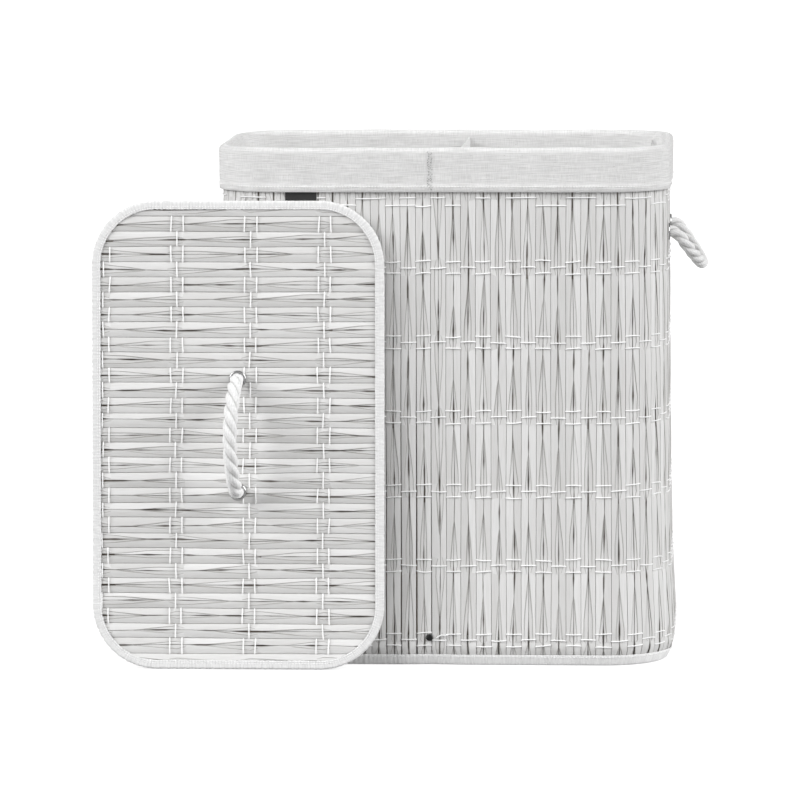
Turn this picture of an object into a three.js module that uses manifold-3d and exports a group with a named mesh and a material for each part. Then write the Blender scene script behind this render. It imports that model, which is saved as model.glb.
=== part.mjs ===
// Laundry hamper with two bins: a folding sleeve of tied slat bundles round a cloth lining, a lift-out
// liner with a divider and a cuff folded over the rim, rope handles in eyelets, and a lid of the same
// slats that stands on its short end and leans on the front of the sleeve.
// Lengths are millimetres. The origin is the middle of the hamper's footprint on the floor, +Z is up
// and -Y is the front.
import * as THREE from 'three';
import { mergeVertices } from 'three/addons/utils/BufferGeometryUtils.js';
import Module from 'manifold-3d';

const wasm = await Module();
wasm.setup();

// Overall sizes of the hamper
const hamperHeight = 600;
const hamperWidth = 517;
const hamperDepth = 323;
const cornerRadius = 73;

// Clearances
const seatGap = 0.3;
const facetGap = 0.5;
const cutOverrun = 5;

// Slat wall and its lining
const bundleWidth = 17.3;
const slatThickness = 3.8;
const grooveDepth = 1.6;
const pinchDepth = 0.6;
const liningThickness = 1.4;
const bandSpacing = 86.4;
const lowestBand = 30.2;

// How the wall stands: pushed out by the base boards, drawn in at the floor, creased at the two folds
const basePush = 8;
const pushShares = [
  [0, -0.3], [0.021, 0.55], [0.034, 0.95], [0.06, 1], [0.12, 0.85], [0.2, 0.67], [0.3, 0.49], [0.5, 0.27],
  [0.77, 0.05], [0.9, 0], [1, 0],
];
const foldDepth = 3;
const foldShares = [[0, 1], [0.5, 0.8], [0.85, 0], [1, 0]];
const foldShift = 13;
const foldReachBundles = 2;
const liningShares = [0.021, 0.034, 0.06, 0.2, 0.5, 0.77];
const cornerSteps = 6;

// Bindings at the wall's two edges
const footBindingThickness = 0.7;
const footBindingHeight = 11;
const footBindingEase = 0.8;
const rimBindingThickness = 0.5;
const rimBindingHeight = 14;

// Wire hoop in the rim, in two halves joined at the folds
const wireRadius = 1.7;
const wireSides = 6;
const jointRadius = 2.4;
const jointBore = 2;
const jointLength = 30;
const wireEndGap = 1;

// Liner: bag, divider and the cuff folded over the rim
const clothThickness = 1.6;
const cuffThickness = 2;
const cuffDrop = 53;
const cuffInnerDrop = 25;
const hemHeight = 9.5;
const hemThickness = 0.7;
const cuffArchSteps = 5;
const bindingArchSteps = 3;
const bagKnotGap = 5.3;
const bagSideEase = 6;
const bagShoulderDrop = 60;
const dividerThickness = 2;
const dividerShift = 9;
const dividerDrop = 10;
const dividerSag = 12;
const dividerSteps = 8;
const tagWidth = 36;
const tagThickness = 0.7;
const tagDrop = 7.5;
const tagTuck = 4;
const tagFromCorner = 23.5;

// Floor of the sleeve: cloth at the bottom, batten and two hinged boards above it
const floorClothThickness = 1;
const boardHeight = 34;
const boardThickness = 3.5;
const boardGap = 1;
const tapeWidth = 44;
const tapeThickness = 0.8;
const battenWidth = 30;
const battenThickness = 12;
const rivetHeight = 28;
const rivetHeadRadius = 4.4;
const rivetHeadThickness = 2.2;
const rivetShankRadius = 2;
const rivetShankLength = 22;
const rivetSides = 12;
const rivetDomeShares = [[0, 1], [0.5, 0.9], [1, 0.3]];

// Rope handles, their eyelets, washers and knots
const ropeRadius = 7.1;
const ropeSides = 8;
const ropeSteps = 18;
const ropeEndSides = 8;
const eyeletFromCorner = 23.5;
const handleDrop = 51;
const sideHandleReach = 51;
const sideHandleDroop = THREE.MathUtils.degToRad(54.8);
const lidHandleGrip = 130;
const lidHandleReach = 46;
const eyeletBore = 7.5;
const eyeletBarrel = 8.2;
const eyeletFlange = 10;
const eyeletFlangeHeight = 1.9;
const eyeletSides = 12;
const eyeletHole = 8.6;
const eyeletCurl = 0.6;
const washerRadius = 11;
const washerThickness = 1;
const stubProud = 0.1;
const knotRadius = 13.5;
const knotLength = 18;
const knotSides = 10;
const knotWaistShare = 0.85;
const knotShares = [
  [1, 0], [0.85, 0], [0.75, knotWaistShare], [0.5, 1], [0.3, 1], [0.08, knotWaistShare], [0, 0],
];

// Lid, modelled flat with its outer face up, then stood against the front of the sleeve
const lidEndReach = 11.5;
const lidSideReach = 7;
const lidCornerEase = 1;
const lidThickness = 10;
const lidBindingThickness = 0.7;
const lidBindingWidth = 10;
const lidSlatThickness = 3.4;
const lidGrooveDepth = 1.2;
const lidPinchDepth = 0.5;
const lidBoardThickness = 3;
const lidBackingThickness = 1;
const lidBandSpacing = 85.1;
const lidBandInset = 12.2;
const lidInset = 24;
const lidKnotGap = 0.2;

// Colours, each with its roughness and metalness
const slatFinish = { color: 0xa9a6a1, roughness: 0.62, metalness: 0 };
const liningFinish = { color: 0xd9d6d0, roughness: 0.9, metalness: 0 };
const linenFinish = { color: 0xc9c8c3, roughness: 0.92, metalness: 0 };
const tapeFinish = { color: 0xf1f0ee, roughness: 0.85, metalness: 0 };
const ropeFinish = { color: 0xf2f1ee, roughness: 0.9, metalness: 0 };
const eyeletFinish = { color: 0xc8c9cb, roughness: 0.22, metalness: 1 };
const wireFinish = { color: 0x9a9c9e, roughness: 0.4, metalness: 1 };
const blackPlasticFinish = { color: 0x17171a, roughness: 0.45, metalness: 0 };
const boardFinish = { color: 0x8a6b4c, roughness: 0.8, metalness: 0 };
const battenFinish = { color: 0xc8a877, roughness: 0.7, metalness: 0 };
const tagFinish = { color: 0x151517, roughness: 0.8, metalness: 0 };

// Sizes worked out from the ones above
const liningOuter = -(slatThickness + seatGap);
const liningInner = liningOuter - liningThickness;
const rimBindingInner = liningInner - seatGap;
const rimCentre = (rimBindingInner + facetGap) / 2;
const rimArch = (facetGap - rimBindingInner) / 2;
const rimBindingArch = rimArch + rimBindingThickness;
const cuffInnerArch = rimBindingArch + facetGap;
const cuffOuterArch = cuffInnerArch + cuffThickness;
const rimHeight = hamperHeight - cuffOuterArch;
const wallTop = rimHeight - jointRadius - seatGap;
const wallBottom = footBindingThickness + facetGap;
const perimeter = 2 * (hamperWidth + hamperDepth - 4 * cornerRadius) + 2 * Math.PI * cornerRadius;
const bundleCount = 2 * Math.round(perimeter / bundleWidth / 2);
const bundlePitch = perimeter / bundleCount;
const bandCount = Math.floor((wallTop - lowestBand) / bandSpacing) + 1;
const foldReach = foldReachBundles * bundlePitch;
const cuffBottom = hamperHeight - cuffDrop;
const cuffProud = rimCentre + cuffOuterArch + hemThickness;
const tagPlace = hamperWidth / 2 - cornerRadius - tagFromCorner;
const handleHeight = cuffBottom - handleDrop;
const handleGrip = hamperDepth - 2 * (cornerRadius + eyeletFromCorner);
const eyeletStack = seatGap + slatThickness + seatGap + liningThickness + seatGap;
const knotReach = washerThickness + eyeletCurl + seatGap + knotLength;
const hingeStandOff = eyeletFlangeHeight + stubProud + seatGap + ropeRadius;
const tapeTop = boardHeight + boardThickness + seatGap + tapeThickness;
const linerBottom = tapeTop + seatGap;
const lidLength = hamperWidth + 2 * lidEndReach;
const lidWidth = hamperDepth + 2 * lidSideReach;
const lidCornerRadius = cornerRadius + lidCornerEase;
const lidSlatTop = lidThickness - lidBindingThickness - seatGap;
const lidSlatBottom = lidSlatTop - lidSlatThickness;
const lidBoardTop = lidSlatBottom - seatGap;
const lidBackingTop = lidBoardTop - lidBoardThickness - seatGap;
const lidBackingBottom = lidBackingTop - lidBackingThickness;
const lidEyeletStack = seatGap + lidSlatTop - lidBackingBottom + seatGap;
const lidBundleCount = Math.round((lidLength - 2 * lidBindingThickness) / bundlePitch);
const lidFirstBand = lidBandInset - lidWidth / 2;
const lidBandCount = Math.floor((lidWidth / 2 - lidFirstBand) / lidBandSpacing) + 1;
const lidPlace = lidInset - hamperWidth / 2;

// Straight-line reading of a table of [share of the way, share of the value]
function readShares(table, share) {
  const last = table.length - 1;
  for (let i = 1; i <= last; i += 1) {
    const [from, low] = table[i - 1];
    const [to, high] = table[i];
    if (share <= to || i === last) {
      return low + (high - low) * THREE.MathUtils.clamp((share - from) / (to - from), 0, 1);
    }
  }
  return 0;
}

function wallPush(height) {
  return basePush * readShares(pushShares, height / hamperHeight);
}

function wallFold(height) {
  return foldDepth * readShares(foldShares, height / hamperHeight);
}

// How far the lid's foot stands out, so that the knots behind the lid clear the wall's rounded corner
function footStandOff() {
  const knotTop = (lidLength + lidHandleGrip) / 2 + knotRadius;
  const knotBack = lidEyeletStack + knotReach - lidSlatTop - seatGap;
  const acrossCorner = Math.max(0, cornerRadius - lidInset - knotRadius);
  const cornerRelief = cornerRadius - Math.sqrt(cornerRadius ** 2 - acrossCorner ** 2);
  const gapAtKnot = knotBack + wallPush(knotTop) - cornerRelief + lidKnotGap;
  return hamperDepth / 2 + gapAtKnot / (1 - knotTop / lidLength);
}

const lidStandOff = footStandOff();

// How far the lid leans back before its back face or its top edge meets the wall or the cuff
function leanOfLid() {
  const frontFace = (height) => hamperDepth / 2 + wallPush(height) + (height < cuffBottom ? 0 : cuffProud);
  const room = (height) => lidStandOff - frontFace(height) - seatGap;
  const levels = [...pushShares.map(([share]) => share * hamperHeight), cuffBottom, cuffBottom + hemHeight];
  const passed = levels.filter((height) => height > 0 && height < lidLength);
  const leans = passed.map((height) => Math.atan2(room(height), height));
  return Math.min(Math.asin(room(lidLength) / lidLength), ...leans);
}

const lidLean = leanOfLid();

// Closed geometry from points and triangles, with its faces turned outwards
function closedGeometry(points, faces) {
  let volume = 0;
  const cross = new THREE.Vector3();
  for (const [a, b, c] of faces) {
    volume += cross.crossVectors(points[a], points[b]).dot(points[c]);
  }
  const places = points.flatMap((point) => point.toArray());
  const geometry = new THREE.BufferGeometry();
  geometry.setAttribute('position', new THREE.Float32BufferAttribute(places, 3));
  geometry.setIndex(faces.flatMap(([a, b, c]) => (volume < 0 ? [a, c, b] : [a, b, c])));
  geometry.computeVertexNormals();
  return geometry;
}

// Shares of the way round of each point of a closed loop, ending with 1
function loopShares(loop) {
  const shares = [0];
  loop.forEach((point, i) => shares.push(shares[i] + point.distanceTo(loop[(i + 1) % loop.length])));
  return shares.map((share) => share / shares[loop.length]);
}

// Triangles between two closed loops whose numbers of points may differ
function zipLoops(loopA, loopB, startA, startB, faces) {
  const sharesA = loopShares(loopA);
  const sharesB = loopShares(loopB);
  const indexA = (i) => startA + (i % loopA.length);
  const indexB = (i) => startB + (i % loopB.length);
  let a = 0;
  let b = 0;
  while (a < loopA.length || b < loopB.length) {
    const moveA = b === loopB.length || (a < loopA.length && sharesA[a + 1] <= sharesB[b + 1]);
    if (moveA) {
      faces.push([indexA(a), indexA(a + 1), indexB(b)]);
      a += 1;
    } else {
      faces.push([indexB(b + 1), indexB(b), indexA(a)]);
      b += 1;
    }
  }
}

// Skin over a row of closed loops: round again to the first one, or with both ends capped
function loftLoops(loops, { endless, capAxes }) {
  const points = loops.flat();
  const starts = [];
  loops.reduce((start, loop) => {
    starts.push(start);
    return start + loop.length;
  }, 0);
  const faces = [];
  const joins = endless ? loops.length : loops.length - 1;
  for (let i = 0; i < joins; i += 1) {
    const next = (i + 1) % loops.length;
    zipLoops(loops[i], loops[next], starts[i], starts[next], faces);
  }
  if (!endless) {
    for (const end of [0, loops.length - 1]) {
      const flat = loops[end].map((point) => new THREE.Vector2(point[capAxes[0]], point[capAxes[1]]));
      const area = THREE.ShapeUtils.area(flat);
      for (const corners of THREE.ShapeUtils.triangulateShape(flat, [])) {
        const forward = cornerTurn(...corners.map((i) => flat[i])) * area > 0;
        const [p, q, r] = corners.map((i) => starts[end] + i);
        faces.push(forward === (end === 0) ? [p, r, q] : [p, q, r]);
      }
    }
  }
  return closedGeometry(points, faces);
}

// Which way a flat corner turns: above zero is anticlockwise
function cornerTurn(a, b, c) {
  return (b.x - a.x) * (c.y - a.y) - (b.y - a.y) * (c.x - a.x);
}

function toSolid(geometry) {
  const bare = geometry.clone();
  bare.deleteAttribute('normal');
  bare.deleteAttribute('uv');
  const merged = mergeVertices(bare);
  const index = merged.index.array;
  return new wasm.Manifold(new wasm.Mesh({
    numProp: 3,
    vertProperties: new Float32Array(merged.attributes.position.array),
    triVerts: new Uint32Array(index),
  }));
}

function toGeometry(solid) {
  const mesh = solid.getMesh();
  const geometry = new THREE.BufferGeometry();
  geometry.setAttribute('position', new THREE.BufferAttribute(mesh.vertProperties, mesh.numProp));
  geometry.setIndex(new THREE.BufferAttribute(mesh.triVerts, 1));
  geometry.computeVertexNormals();
  return geometry;
}

function cutAway(geometry, cutters) {
  return toGeometry(cutters.reduce((solid, cutter) => solid.subtract(toSolid(cutter)), toSolid(geometry)));
}

// Point and outward normal at a distance round the slat wall, anticlockwise from above, from the front fold
function wallPoint(distance) {
  const spans = [hamperWidth, hamperDepth, hamperWidth, hamperDepth].map((side) => side - 2 * cornerRadius);
  const quarter = Math.PI * cornerRadius / 2;
  let left = THREE.MathUtils.euclideanModulo(distance + spans[0] / 2 - foldShift, perimeter);
  for (let side = 0; side < spans.length; side += 1) {
    const heading = new THREE.Vector2(1, 0).rotateAround(new THREE.Vector2(), side * Math.PI / 2);
    const outward = new THREE.Vector2(heading.y, -heading.x);
    const across = (side % 2 ? hamperWidth : hamperDepth) / 2;
    if (left <= spans[side]) {
      const place = heading.clone().multiplyScalar(left - spans[side] / 2).addScaledVector(outward, across);
      return { place, outward };
    }
    left -= spans[side];
    if (left <= quarter) {
      const turn = left / cornerRadius;
      const normal = outward.clone().multiplyScalar(Math.cos(turn)).addScaledVector(heading, Math.sin(turn));
      const centre = heading.clone().multiplyScalar(spans[side] / 2);
      centre.addScaledVector(outward, across - cornerRadius);
      return { place: centre.addScaledVector(normal, cornerRadius), outward: normal };
    }
    left -= quarter;
  }
  return wallPoint(0);
}

// Share of the fold's depth at a distance round the wall: 1 in each of the two folds, 0 past their reach
function foldShareAt(distance) {
  const half = perimeter / 2;
  const away = Math.abs(THREE.MathUtils.euclideanModulo(distance + half / 2, half) - half / 2);
  return Math.max(0, 1 - away / foldReach);
}

// Loop of points at one height: a rounded rectangle set off from the wall's line, creased at the folds.
// It starts at the front fold and goes anticlockwise.
function wallLoop(height, endSpread, sideSpread = endSpread, crease = wallFold(height)) {
  const halfWidth = hamperWidth / 2 + endSpread;
  const halfDepth = hamperDepth / 2 + sideSpread;
  const radius = cornerRadius + Math.max(endSpread, sideSpread);
  const front = [[-foldShift, -halfDepth + crease], [foldReach - foldShift, -halfDepth]];
  const back = [
    [foldShift + foldReach, halfDepth], [foldShift, halfDepth - crease], [foldShift - foldReach, halfDepth],
  ];
  const end = [[-foldShift - foldReach, -halfDepth]];
  const corner = (signX, signY, quarterTurns) => {
    const points = [];
    for (let i = 0; i <= cornerSteps; i += 1) {
      const angle = (quarterTurns + i / cornerSteps) * Math.PI / 2;
      const x = signX * (halfWidth - radius) + radius * Math.cos(angle);
      points.push([x, signY * (halfDepth - radius) + radius * Math.sin(angle)]);
    }
    return points;
  };
  const outline = [
    ...front, ...corner(1, -1, -1), ...corner(1, 1, 0),
    ...back, ...corner(-1, 1, 1), ...corner(-1, -1, 2), ...end,
  ];
  return outline.map(([x, y]) => new THREE.Vector3(x, y, height));
}

// Ring round the wall from a closed profile of [spread from the wall's line, height], which follows the push
function wallRing(profile) {
  const loops = profile.map(([spread, height]) => wallLoop(height, spread + wallPush(height)));
  return loftLoops(loops, { endless: true });
}

// Loop of the slat bundles' outer face at one height: a groove between bundles and a crown on each
function slatLoop(height, crownDrop) {
  const loop = [];
  for (let i = 0; i < 2 * bundleCount; i += 1) {
    const distance = i * bundlePitch / 2;
    const { place, outward } = wallPoint(distance);
    const relief = i % 2 ? -crownDrop : -grooveDepth;
    const spread = wallPush(height) + relief - foldShareAt(distance) * wallFold(height);
    const point = place.addScaledVector(outward, spread);
    loop.push(new THREE.Vector3(point.x, point.y, height));
  }
  return loop;
}

const liningLevels = [wallBottom, ...liningShares.map((share) => share * hamperHeight), wallTop];

// Slat sleeve: bundles pinched where the thread bands tie them, full in between
function slatSleeve() {
  const loops = [slatLoop(wallBottom, pinchDepth), slatLoop(pushShares[1][0] * hamperHeight, pinchDepth)];
  for (let band = 0; band < bandCount; band += 1) {
    const height = lowestBand + band * bandSpacing;
    loops.push(slatLoop(height, pinchDepth));
    if (band < bandCount - 1) {
      loops.push(slatLoop(height + bandSpacing / 2, 0));
    }
  }
  loops.push(slatLoop(wallTop, pinchDepth));
  for (const height of [...liningLevels].reverse()) {
    loops.push(wallLoop(height, wallPush(height) - slatThickness));
  }
  return loftLoops(loops, { endless: true });
}

// Cloth lining that the bundles are sewn to
function sleeveLining() {
  const outer = liningLevels.map((height) => wallLoop(height, wallPush(height) + liningOuter));
  const inner = liningLevels.map((height) => wallLoop(height, wallPush(height) + liningInner));
  return loftLoops([...outer, ...inner.reverse()], { endless: true });
}

// Half circle of profile points over the rim at a radius round the wire, from the outside in or back again
function rimArc(radius, steps, inward) {
  const points = [];
  for (let i = 0; i <= steps; i += 1) {
    const angle = Math.PI * (inward ? i : steps - i) / steps;
    points.push([rimCentre + radius * Math.cos(angle), rimHeight + radius * Math.sin(angle)]);
  }
  return points;
}

// Tape folded over the wall's top edge, with the wire hoop inside the fold
function rimBinding() {
  const bottom = wallTop - rimBindingHeight;
  return wallRing([
    [rimCentre + rimBindingArch, bottom], ...rimArc(rimBindingArch, bindingArchSteps, true),
    [rimCentre - rimBindingArch, bottom], [rimCentre - rimArch, bottom],
    ...rimArc(rimArch, bindingArchSteps, false), [rimCentre + rimArch, bottom],
  ]);
}

// Tape folded under the wall's bottom edge, which the hamper stands on
function footBinding() {
  const outer = footBindingEase + footBindingThickness;
  const inner = liningInner - seatGap;
  return wallRing([
    [outer, 0], [outer, footBindingHeight], [footBindingEase, footBindingHeight],
    [footBindingEase, footBindingThickness], [inner, footBindingThickness], [inner, footBindingHeight],
    [inner - footBindingThickness, footBindingHeight], [inner - footBindingThickness, 0],
  ]);
}

// The liner's cuff: linen folded over the rim, with a sewn hem at its lower edge
function linerCuff() {
  const outer = rimCentre + cuffOuterArch;
  const inner = rimCentre + cuffInnerArch;
  const hemTop = cuffBottom + hemHeight;
  const innerBottom = hamperHeight - cuffInnerDrop;
  return wallRing([
    [outer + hemThickness, cuffBottom], [outer + hemThickness, hemTop], [outer, hemTop + hemThickness],
    ...rimArc(cuffOuterArch, cuffArchSteps, true), [rimCentre - cuffOuterArch, innerBottom],
    [rimCentre - cuffInnerArch, innerBottom], ...rimArc(cuffInnerArch, cuffArchSteps, false),
    [inner, cuffBottom],
  ]);
}

// Where the liner bag's cloth hangs, clear of the handles' knots at the ends:
// [height, spread at the ends, spread at the long sides] of its outer face
const bagTop = hamperHeight - cuffInnerDrop - seatGap;
const bagTopSpread = rimCentre - cuffInnerArch;
const bagEndSpread = wallPush(handleHeight) + seatGap - eyeletStack - knotReach - bagKnotGap;
const bagLevels = [
  [linerBottom, bagEndSpread, bagTopSpread - bagSideEase],
  [bagTop - bagShoulderDrop, bagEndSpread, bagTopSpread - bagSideEase],
  [bagTop, bagTopSpread, bagTopSpread],
];

function linerWalls() {
  const outer = bagLevels.map(([height, ends, sides]) => wallLoop(height, ends, sides, 0));
  const inner = bagLevels.map(([height, ends, sides]) => (
    wallLoop(height, ends - clothThickness, sides - clothThickness, 0)));
  return loftLoops([...outer, ...inner.reverse()], { endless: true });
}

// Plate with the outline of a loop of points, from its height up by a thickness
function plateFromLoop(loop, thickness) {
  const shape = new THREE.Shape(loop.map((point) => new THREE.Vector2(point.x, point.y)));
  const geometry = new THREE.ExtrudeGeometry(shape, { depth: thickness, bevelEnabled: false });
  return geometry.translate(0, 0, loop[0].z);
}

function linerFloor() {
  const [height, ends, sides] = bagLevels[0];
  const inset = clothThickness + seatGap;
  return plateFromLoop(wallLoop(height, ends - inset, sides - inset, 0), clothThickness);
}

// Divider: one cloth panel from wall to wall, its top edge sagging between the two
function linerDivider() {
  const inset = clothThickness + seatGap;
  const halfAt = (spread) => hamperDepth / 2 + spread - inset;
  const [bottom, shoulder, top] = bagLevels.map(([height, , sides]) => [halfAt(sides), height]);
  const floorTop = linerBottom + clothThickness + seatGap;
  const upperHalf = halfAt(rimCentre - cuffOuterArch);
  const edge = hamperHeight - dividerDrop;
  const right = [[bottom[0], floorTop], shoulder, top, [upperHalf, top[1] + seatGap], [upperHalf, edge]];
  const rim = [];
  for (let i = 1; i < dividerSteps; i += 1) {
    const share = i / dividerSteps;
    rim.push([upperHalf * (1 - 2 * share), edge - dividerSag * Math.sin(Math.PI * share)]);
  }
  const left = right.map(([y, z]) => [-y, z]).reverse();
  const shape = new THREE.Shape([...right, ...rim, ...left].map(([y, z]) => new THREE.Vector2(y, z)));
  const panel = new THREE.ExtrudeGeometry(shape, { depth: dividerThickness, bevelEnabled: false });
  return panel.rotateX(Math.PI / 2).rotateZ(Math.PI / 2).translate(dividerShift - dividerThickness / 2, 0, 0);
}

// Plain tag held under the cuff's hem
function sideTag() {
  const tag = new THREE.BoxGeometry(tagWidth, tagThickness, tagDrop + tagTuck);
  const face = hamperDepth / 2 + seatGap + tagThickness / 2;
  return tag.translate(-tagPlace, -face, cuffBottom + (tagTuck - tagDrop) / 2);
}

// Half of the rim's wire: side 1 is the right half, side -1 the left
function rimWire(side) {
  const round = wallLoop(rimHeight, rimCentre);
  const middle = round.length / 2;
  const half = side > 0 ? round.slice(0, middle + 1) : [...round.slice(middle), round[0]];
  half[0] = half[0].clone().setX(half[0].x + side * wireEndGap / 2);
  half[half.length - 1] = half[half.length - 1].clone().setX(half[half.length - 1].x + side * wireEndGap / 2);
  const loops = half.map((point, i) => {
    const before = half[Math.max(0, i - 1)];
    const after = half[Math.min(half.length - 1, i + 1)];
    const along = after.clone().sub(before).normalize();
    const outward = new THREE.Vector3(along.y, -along.x, 0);
    const loop = [];
    for (let k = 0; k < wireSides; k += 1) {
      const angle = 2 * Math.PI * k / wireSides;
      loop.push(point.clone().addScaledVector(outward, wireRadius * Math.cos(angle))
        .add(new THREE.Vector3(0, 0, wireRadius * Math.sin(angle))));
    }
    return loop;
  });
  return loftLoops(loops, { endless: false, capAxes: ['y', 'z'] });
}

// Solid turned from a profile of [radius, height]
function turned(profile, sides) {
  return new THREE.LatheGeometry(profile.map(([radius, height]) => new THREE.Vector2(radius, height)), sides);
}

// Tube clipped over two wire ends
function rimJoint() {
  const half = jointLength / 2;
  const tube = turned([
    [jointBore, -half], [jointRadius, -half], [jointRadius, half], [jointBore, half], [jointBore, -half],
  ], rivetSides);
  return tube.rotateZ(Math.PI / 2);
}

// Base boards: the floor's outline cut in two along the line between the folds
function baseBoard(side) {
  const spread = wallPush(boardHeight) + liningInner - seatGap;
  const round = wallLoop(boardHeight, spread);
  const middle = round.length / 2;
  const half = side > 0 ? round.slice(0, middle + 1) : [...round.slice(middle), round[0]];
  half[0] = half[0].clone().setX(half[0].x + side * boardGap / 2);
  half[half.length - 1] = half[half.length - 1].clone().setX(half[half.length - 1].x + side * boardGap / 2);
  return plateFromLoop(half, boardThickness);
}

const liningAtBatten = hamperDepth / 2 + wallPush(boardHeight - battenThickness) + liningInner;
const battenHalf = liningAtBatten - foldDepth - seatGap;
const battenTurn = -Math.atan(2 * foldShift / hamperDepth);

function rivet() {
  const dome = rivetDomeShares.map(([radius, rise]) => [radius * rivetHeadRadius, rise * rivetHeadThickness]);
  return turned([
    [0, -rivetShankLength], [rivetShankRadius, -rivetShankLength],
    [rivetShankRadius, 0], [rivetHeadRadius, 0],
    ...dome.reverse(),
  ], rivetSides);
}

// Eyelet: flange outside, barrel through every layer, curled over the washer inside. Its axis is +Y here.
function eyelet(stack) {
  const barrelEnd = -(stack + washerThickness + eyeletCurl);
  const shoulder = (eyeletBore + eyeletFlange) / 2;
  return turned([
    [eyeletBore, barrelEnd], [eyeletBarrel, barrelEnd], [eyeletBarrel, 0], [eyeletFlange, 0],
    [eyeletFlange, eyeletFlangeHeight / 2], [shoulder, eyeletFlangeHeight],
    [eyeletBore, eyeletFlangeHeight / 2],
    [eyeletBore, barrelEnd],
  ], eyeletSides);
}

function washer(stack) {
  const bottom = -(stack + washerThickness);
  return turned([
    [eyeletHole, bottom], [washerRadius, bottom], [washerRadius, -stack], [eyeletHole, -stack],
    [eyeletHole, bottom],
  ], eyeletSides);
}

// Rope end: the short length in the eyelet and the knot that stops it inside
function knot(stack) {
  const top = eyeletFlangeHeight + stubProud;
  const tail = -(stack + knotReach);
  const body = knotShares.map(([share, fullness]) => [
    ropeRadius + fullness * (knotRadius - ropeRadius), tail + (1 - share) * knotLength]);
  return turned([[0, tail], ...body, [ropeRadius, top], [0, top]], knotSides);
}

function eyeletCutter(stack) {
  const length = stack + eyeletFlangeHeight + 2 * cutOverrun;
  const cutter = new THREE.CylinderGeometry(eyeletHole, eyeletHole, length, eyeletSides);
  return cutter.translate(0, eyeletFlangeHeight + cutOverrun - length / 2, 0);
}

// Rope loop in its own plane: an arch along +X between two round ends on the hinge line, which is the Y axis
function ropeLoop(reach, grip) {
  const arch = new THREE.EllipseCurve(0, 0, reach, grip / 2, -Math.PI / 2, Math.PI / 2);
  const points = arch.getPoints(2 * ropeSteps).map((point) => new THREE.Vector3(point.x, point.y, 0));
  const round = new THREE.EllipseCurve(0, 0, ropeRadius, ropeRadius).getPoints(ropeSides);
  const tube = new THREE.ExtrudeGeometry(new THREE.Shape(round.slice(0, -1)), {
    steps: ropeSteps, bevelEnabled: false, extrudePath: new THREE.CatmullRomCurve3(points),
  });
  let solid = toSolid(tube);
  for (const end of [-1, 1]) {
    const ball = new THREE.SphereGeometry(ropeRadius, ropeEndSides, ropeEndSides / 2);
    solid = solid.add(toSolid(ball.rotateX(Math.PI / 2).translate(0, end * grip / 2, 0)));
  }
  return toGeometry(solid);
}

// Rounded rectangle of the lid, drawn in by an inset
function lidLoop(inset, height) {
  const halfWidth = lidWidth / 2 - inset;
  const halfLength = lidLength / 2 - inset;
  const radius = lidCornerRadius - inset;
  const loop = [];
  for (let quarter = 0; quarter < 4; quarter += 1) {
    const signX = quarter === 0 || quarter === 3 ? 1 : -1;
    const signY = quarter < 2 ? 1 : -1;
    for (let i = 0; i <= cornerSteps; i += 1) {
      const angle = (quarter + i / cornerSteps) * Math.PI / 2;
      const x = signX * (halfWidth - radius) + radius * Math.cos(angle);
      loop.push(new THREE.Vector3(x, signY * (halfLength - radius) + radius * Math.sin(angle), height));
    }
  }
  return loop;
}

function lidBinding() {
  const wall = lidBindingThickness;
  const profile = [
    [0, 0], [0, lidThickness], [lidBindingWidth, lidThickness], [lidBindingWidth, lidThickness - wall],
    [wall, lidThickness - wall], [wall, wall], [lidBindingWidth, wall], [lidBindingWidth, 0],
  ];
  return loftLoops(profile.map(([inset, height]) => lidLoop(inset, height)), { endless: true });
}

// The lid's slats: a block of bundles across its width, pinched at the bands, cut to the lid's outline
function lidSlats() {
  const pitch = (lidLength - 2 * lidBindingThickness) / lidBundleCount;
  const halfWidth = lidWidth / 2;
  const stops = [[-halfWidth, 0]];
  for (let band = 0; band < lidBandCount; band += 1) {
    const place = lidFirstBand + band * lidBandSpacing;
    stops.push([place, lidPinchDepth]);
    stops.push([Math.min(place + lidBandSpacing / 2, halfWidth), 0]);
  }
  stops.push([halfWidth, lidPinchDepth]);
  const loops = stops.map(([x, crownDrop]) => {
    const loop = [];
    for (let i = 0; i <= 2 * lidBundleCount; i += 1) {
      const drop = i % 2 ? crownDrop : lidGrooveDepth;
      loop.push(new THREE.Vector3(x, (i - lidBundleCount) * pitch / 2, lidSlatTop - drop));
    }
    loop.push(new THREE.Vector3(x, lidBundleCount * pitch / 2, lidSlatBottom));
    loop.push(new THREE.Vector3(x, -lidBundleCount * pitch / 2, lidSlatBottom));
    return loop;
  });
  const block = toSolid(loftLoops(loops, { endless: false, capAxes: ['y', 'z'] }));
  const outline = lidLoop(lidBindingThickness + seatGap, lidSlatBottom - cutOverrun);
  return toGeometry(block.intersect(toSolid(plateFromLoop(outline, lidThickness + 2 * cutOverrun))));
}

const hamper = new THREE.Group();

function addPiece(parent, name, geometry, finish) {
  const mesh = new THREE.Mesh(geometry, new THREE.MeshStandardMaterial(finish));
  mesh.name = name;
  parent.add(mesh);
  return mesh;
}

const endWallOut = hamperWidth / 2 + wallPush(handleHeight) + seatGap;

// Turns a piece made round +Y so that its axis points along +X from the end wall, or +Z from the lid
function faceOutFromEnd(geometry, y) {
  return geometry.rotateZ(-Math.PI / 2).translate(endWallOut, y, handleHeight);
}

function faceOutFromLid(geometry, y) {
  return geometry.rotateX(Math.PI / 2).translate(0, y, lidSlatTop + seatGap);
}

const handleEnds = [['front', -1], ['rear', 1]];
const wallSides = [['right', 0], ['left', Math.PI]];
const endCutters = wallSides.flatMap(([, turn]) => handleEnds.map(([, end]) => (
  faceOutFromEnd(eyeletCutter(eyeletStack), end * handleGrip / 2).rotateZ(turn))));
const rivetSpread = wallPush(rivetHeight) - foldDepth * readShares(foldShares, rivetHeight / hamperHeight);
const rivetOut = hamperDepth / 2 + rivetSpread + seatGap;

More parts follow.
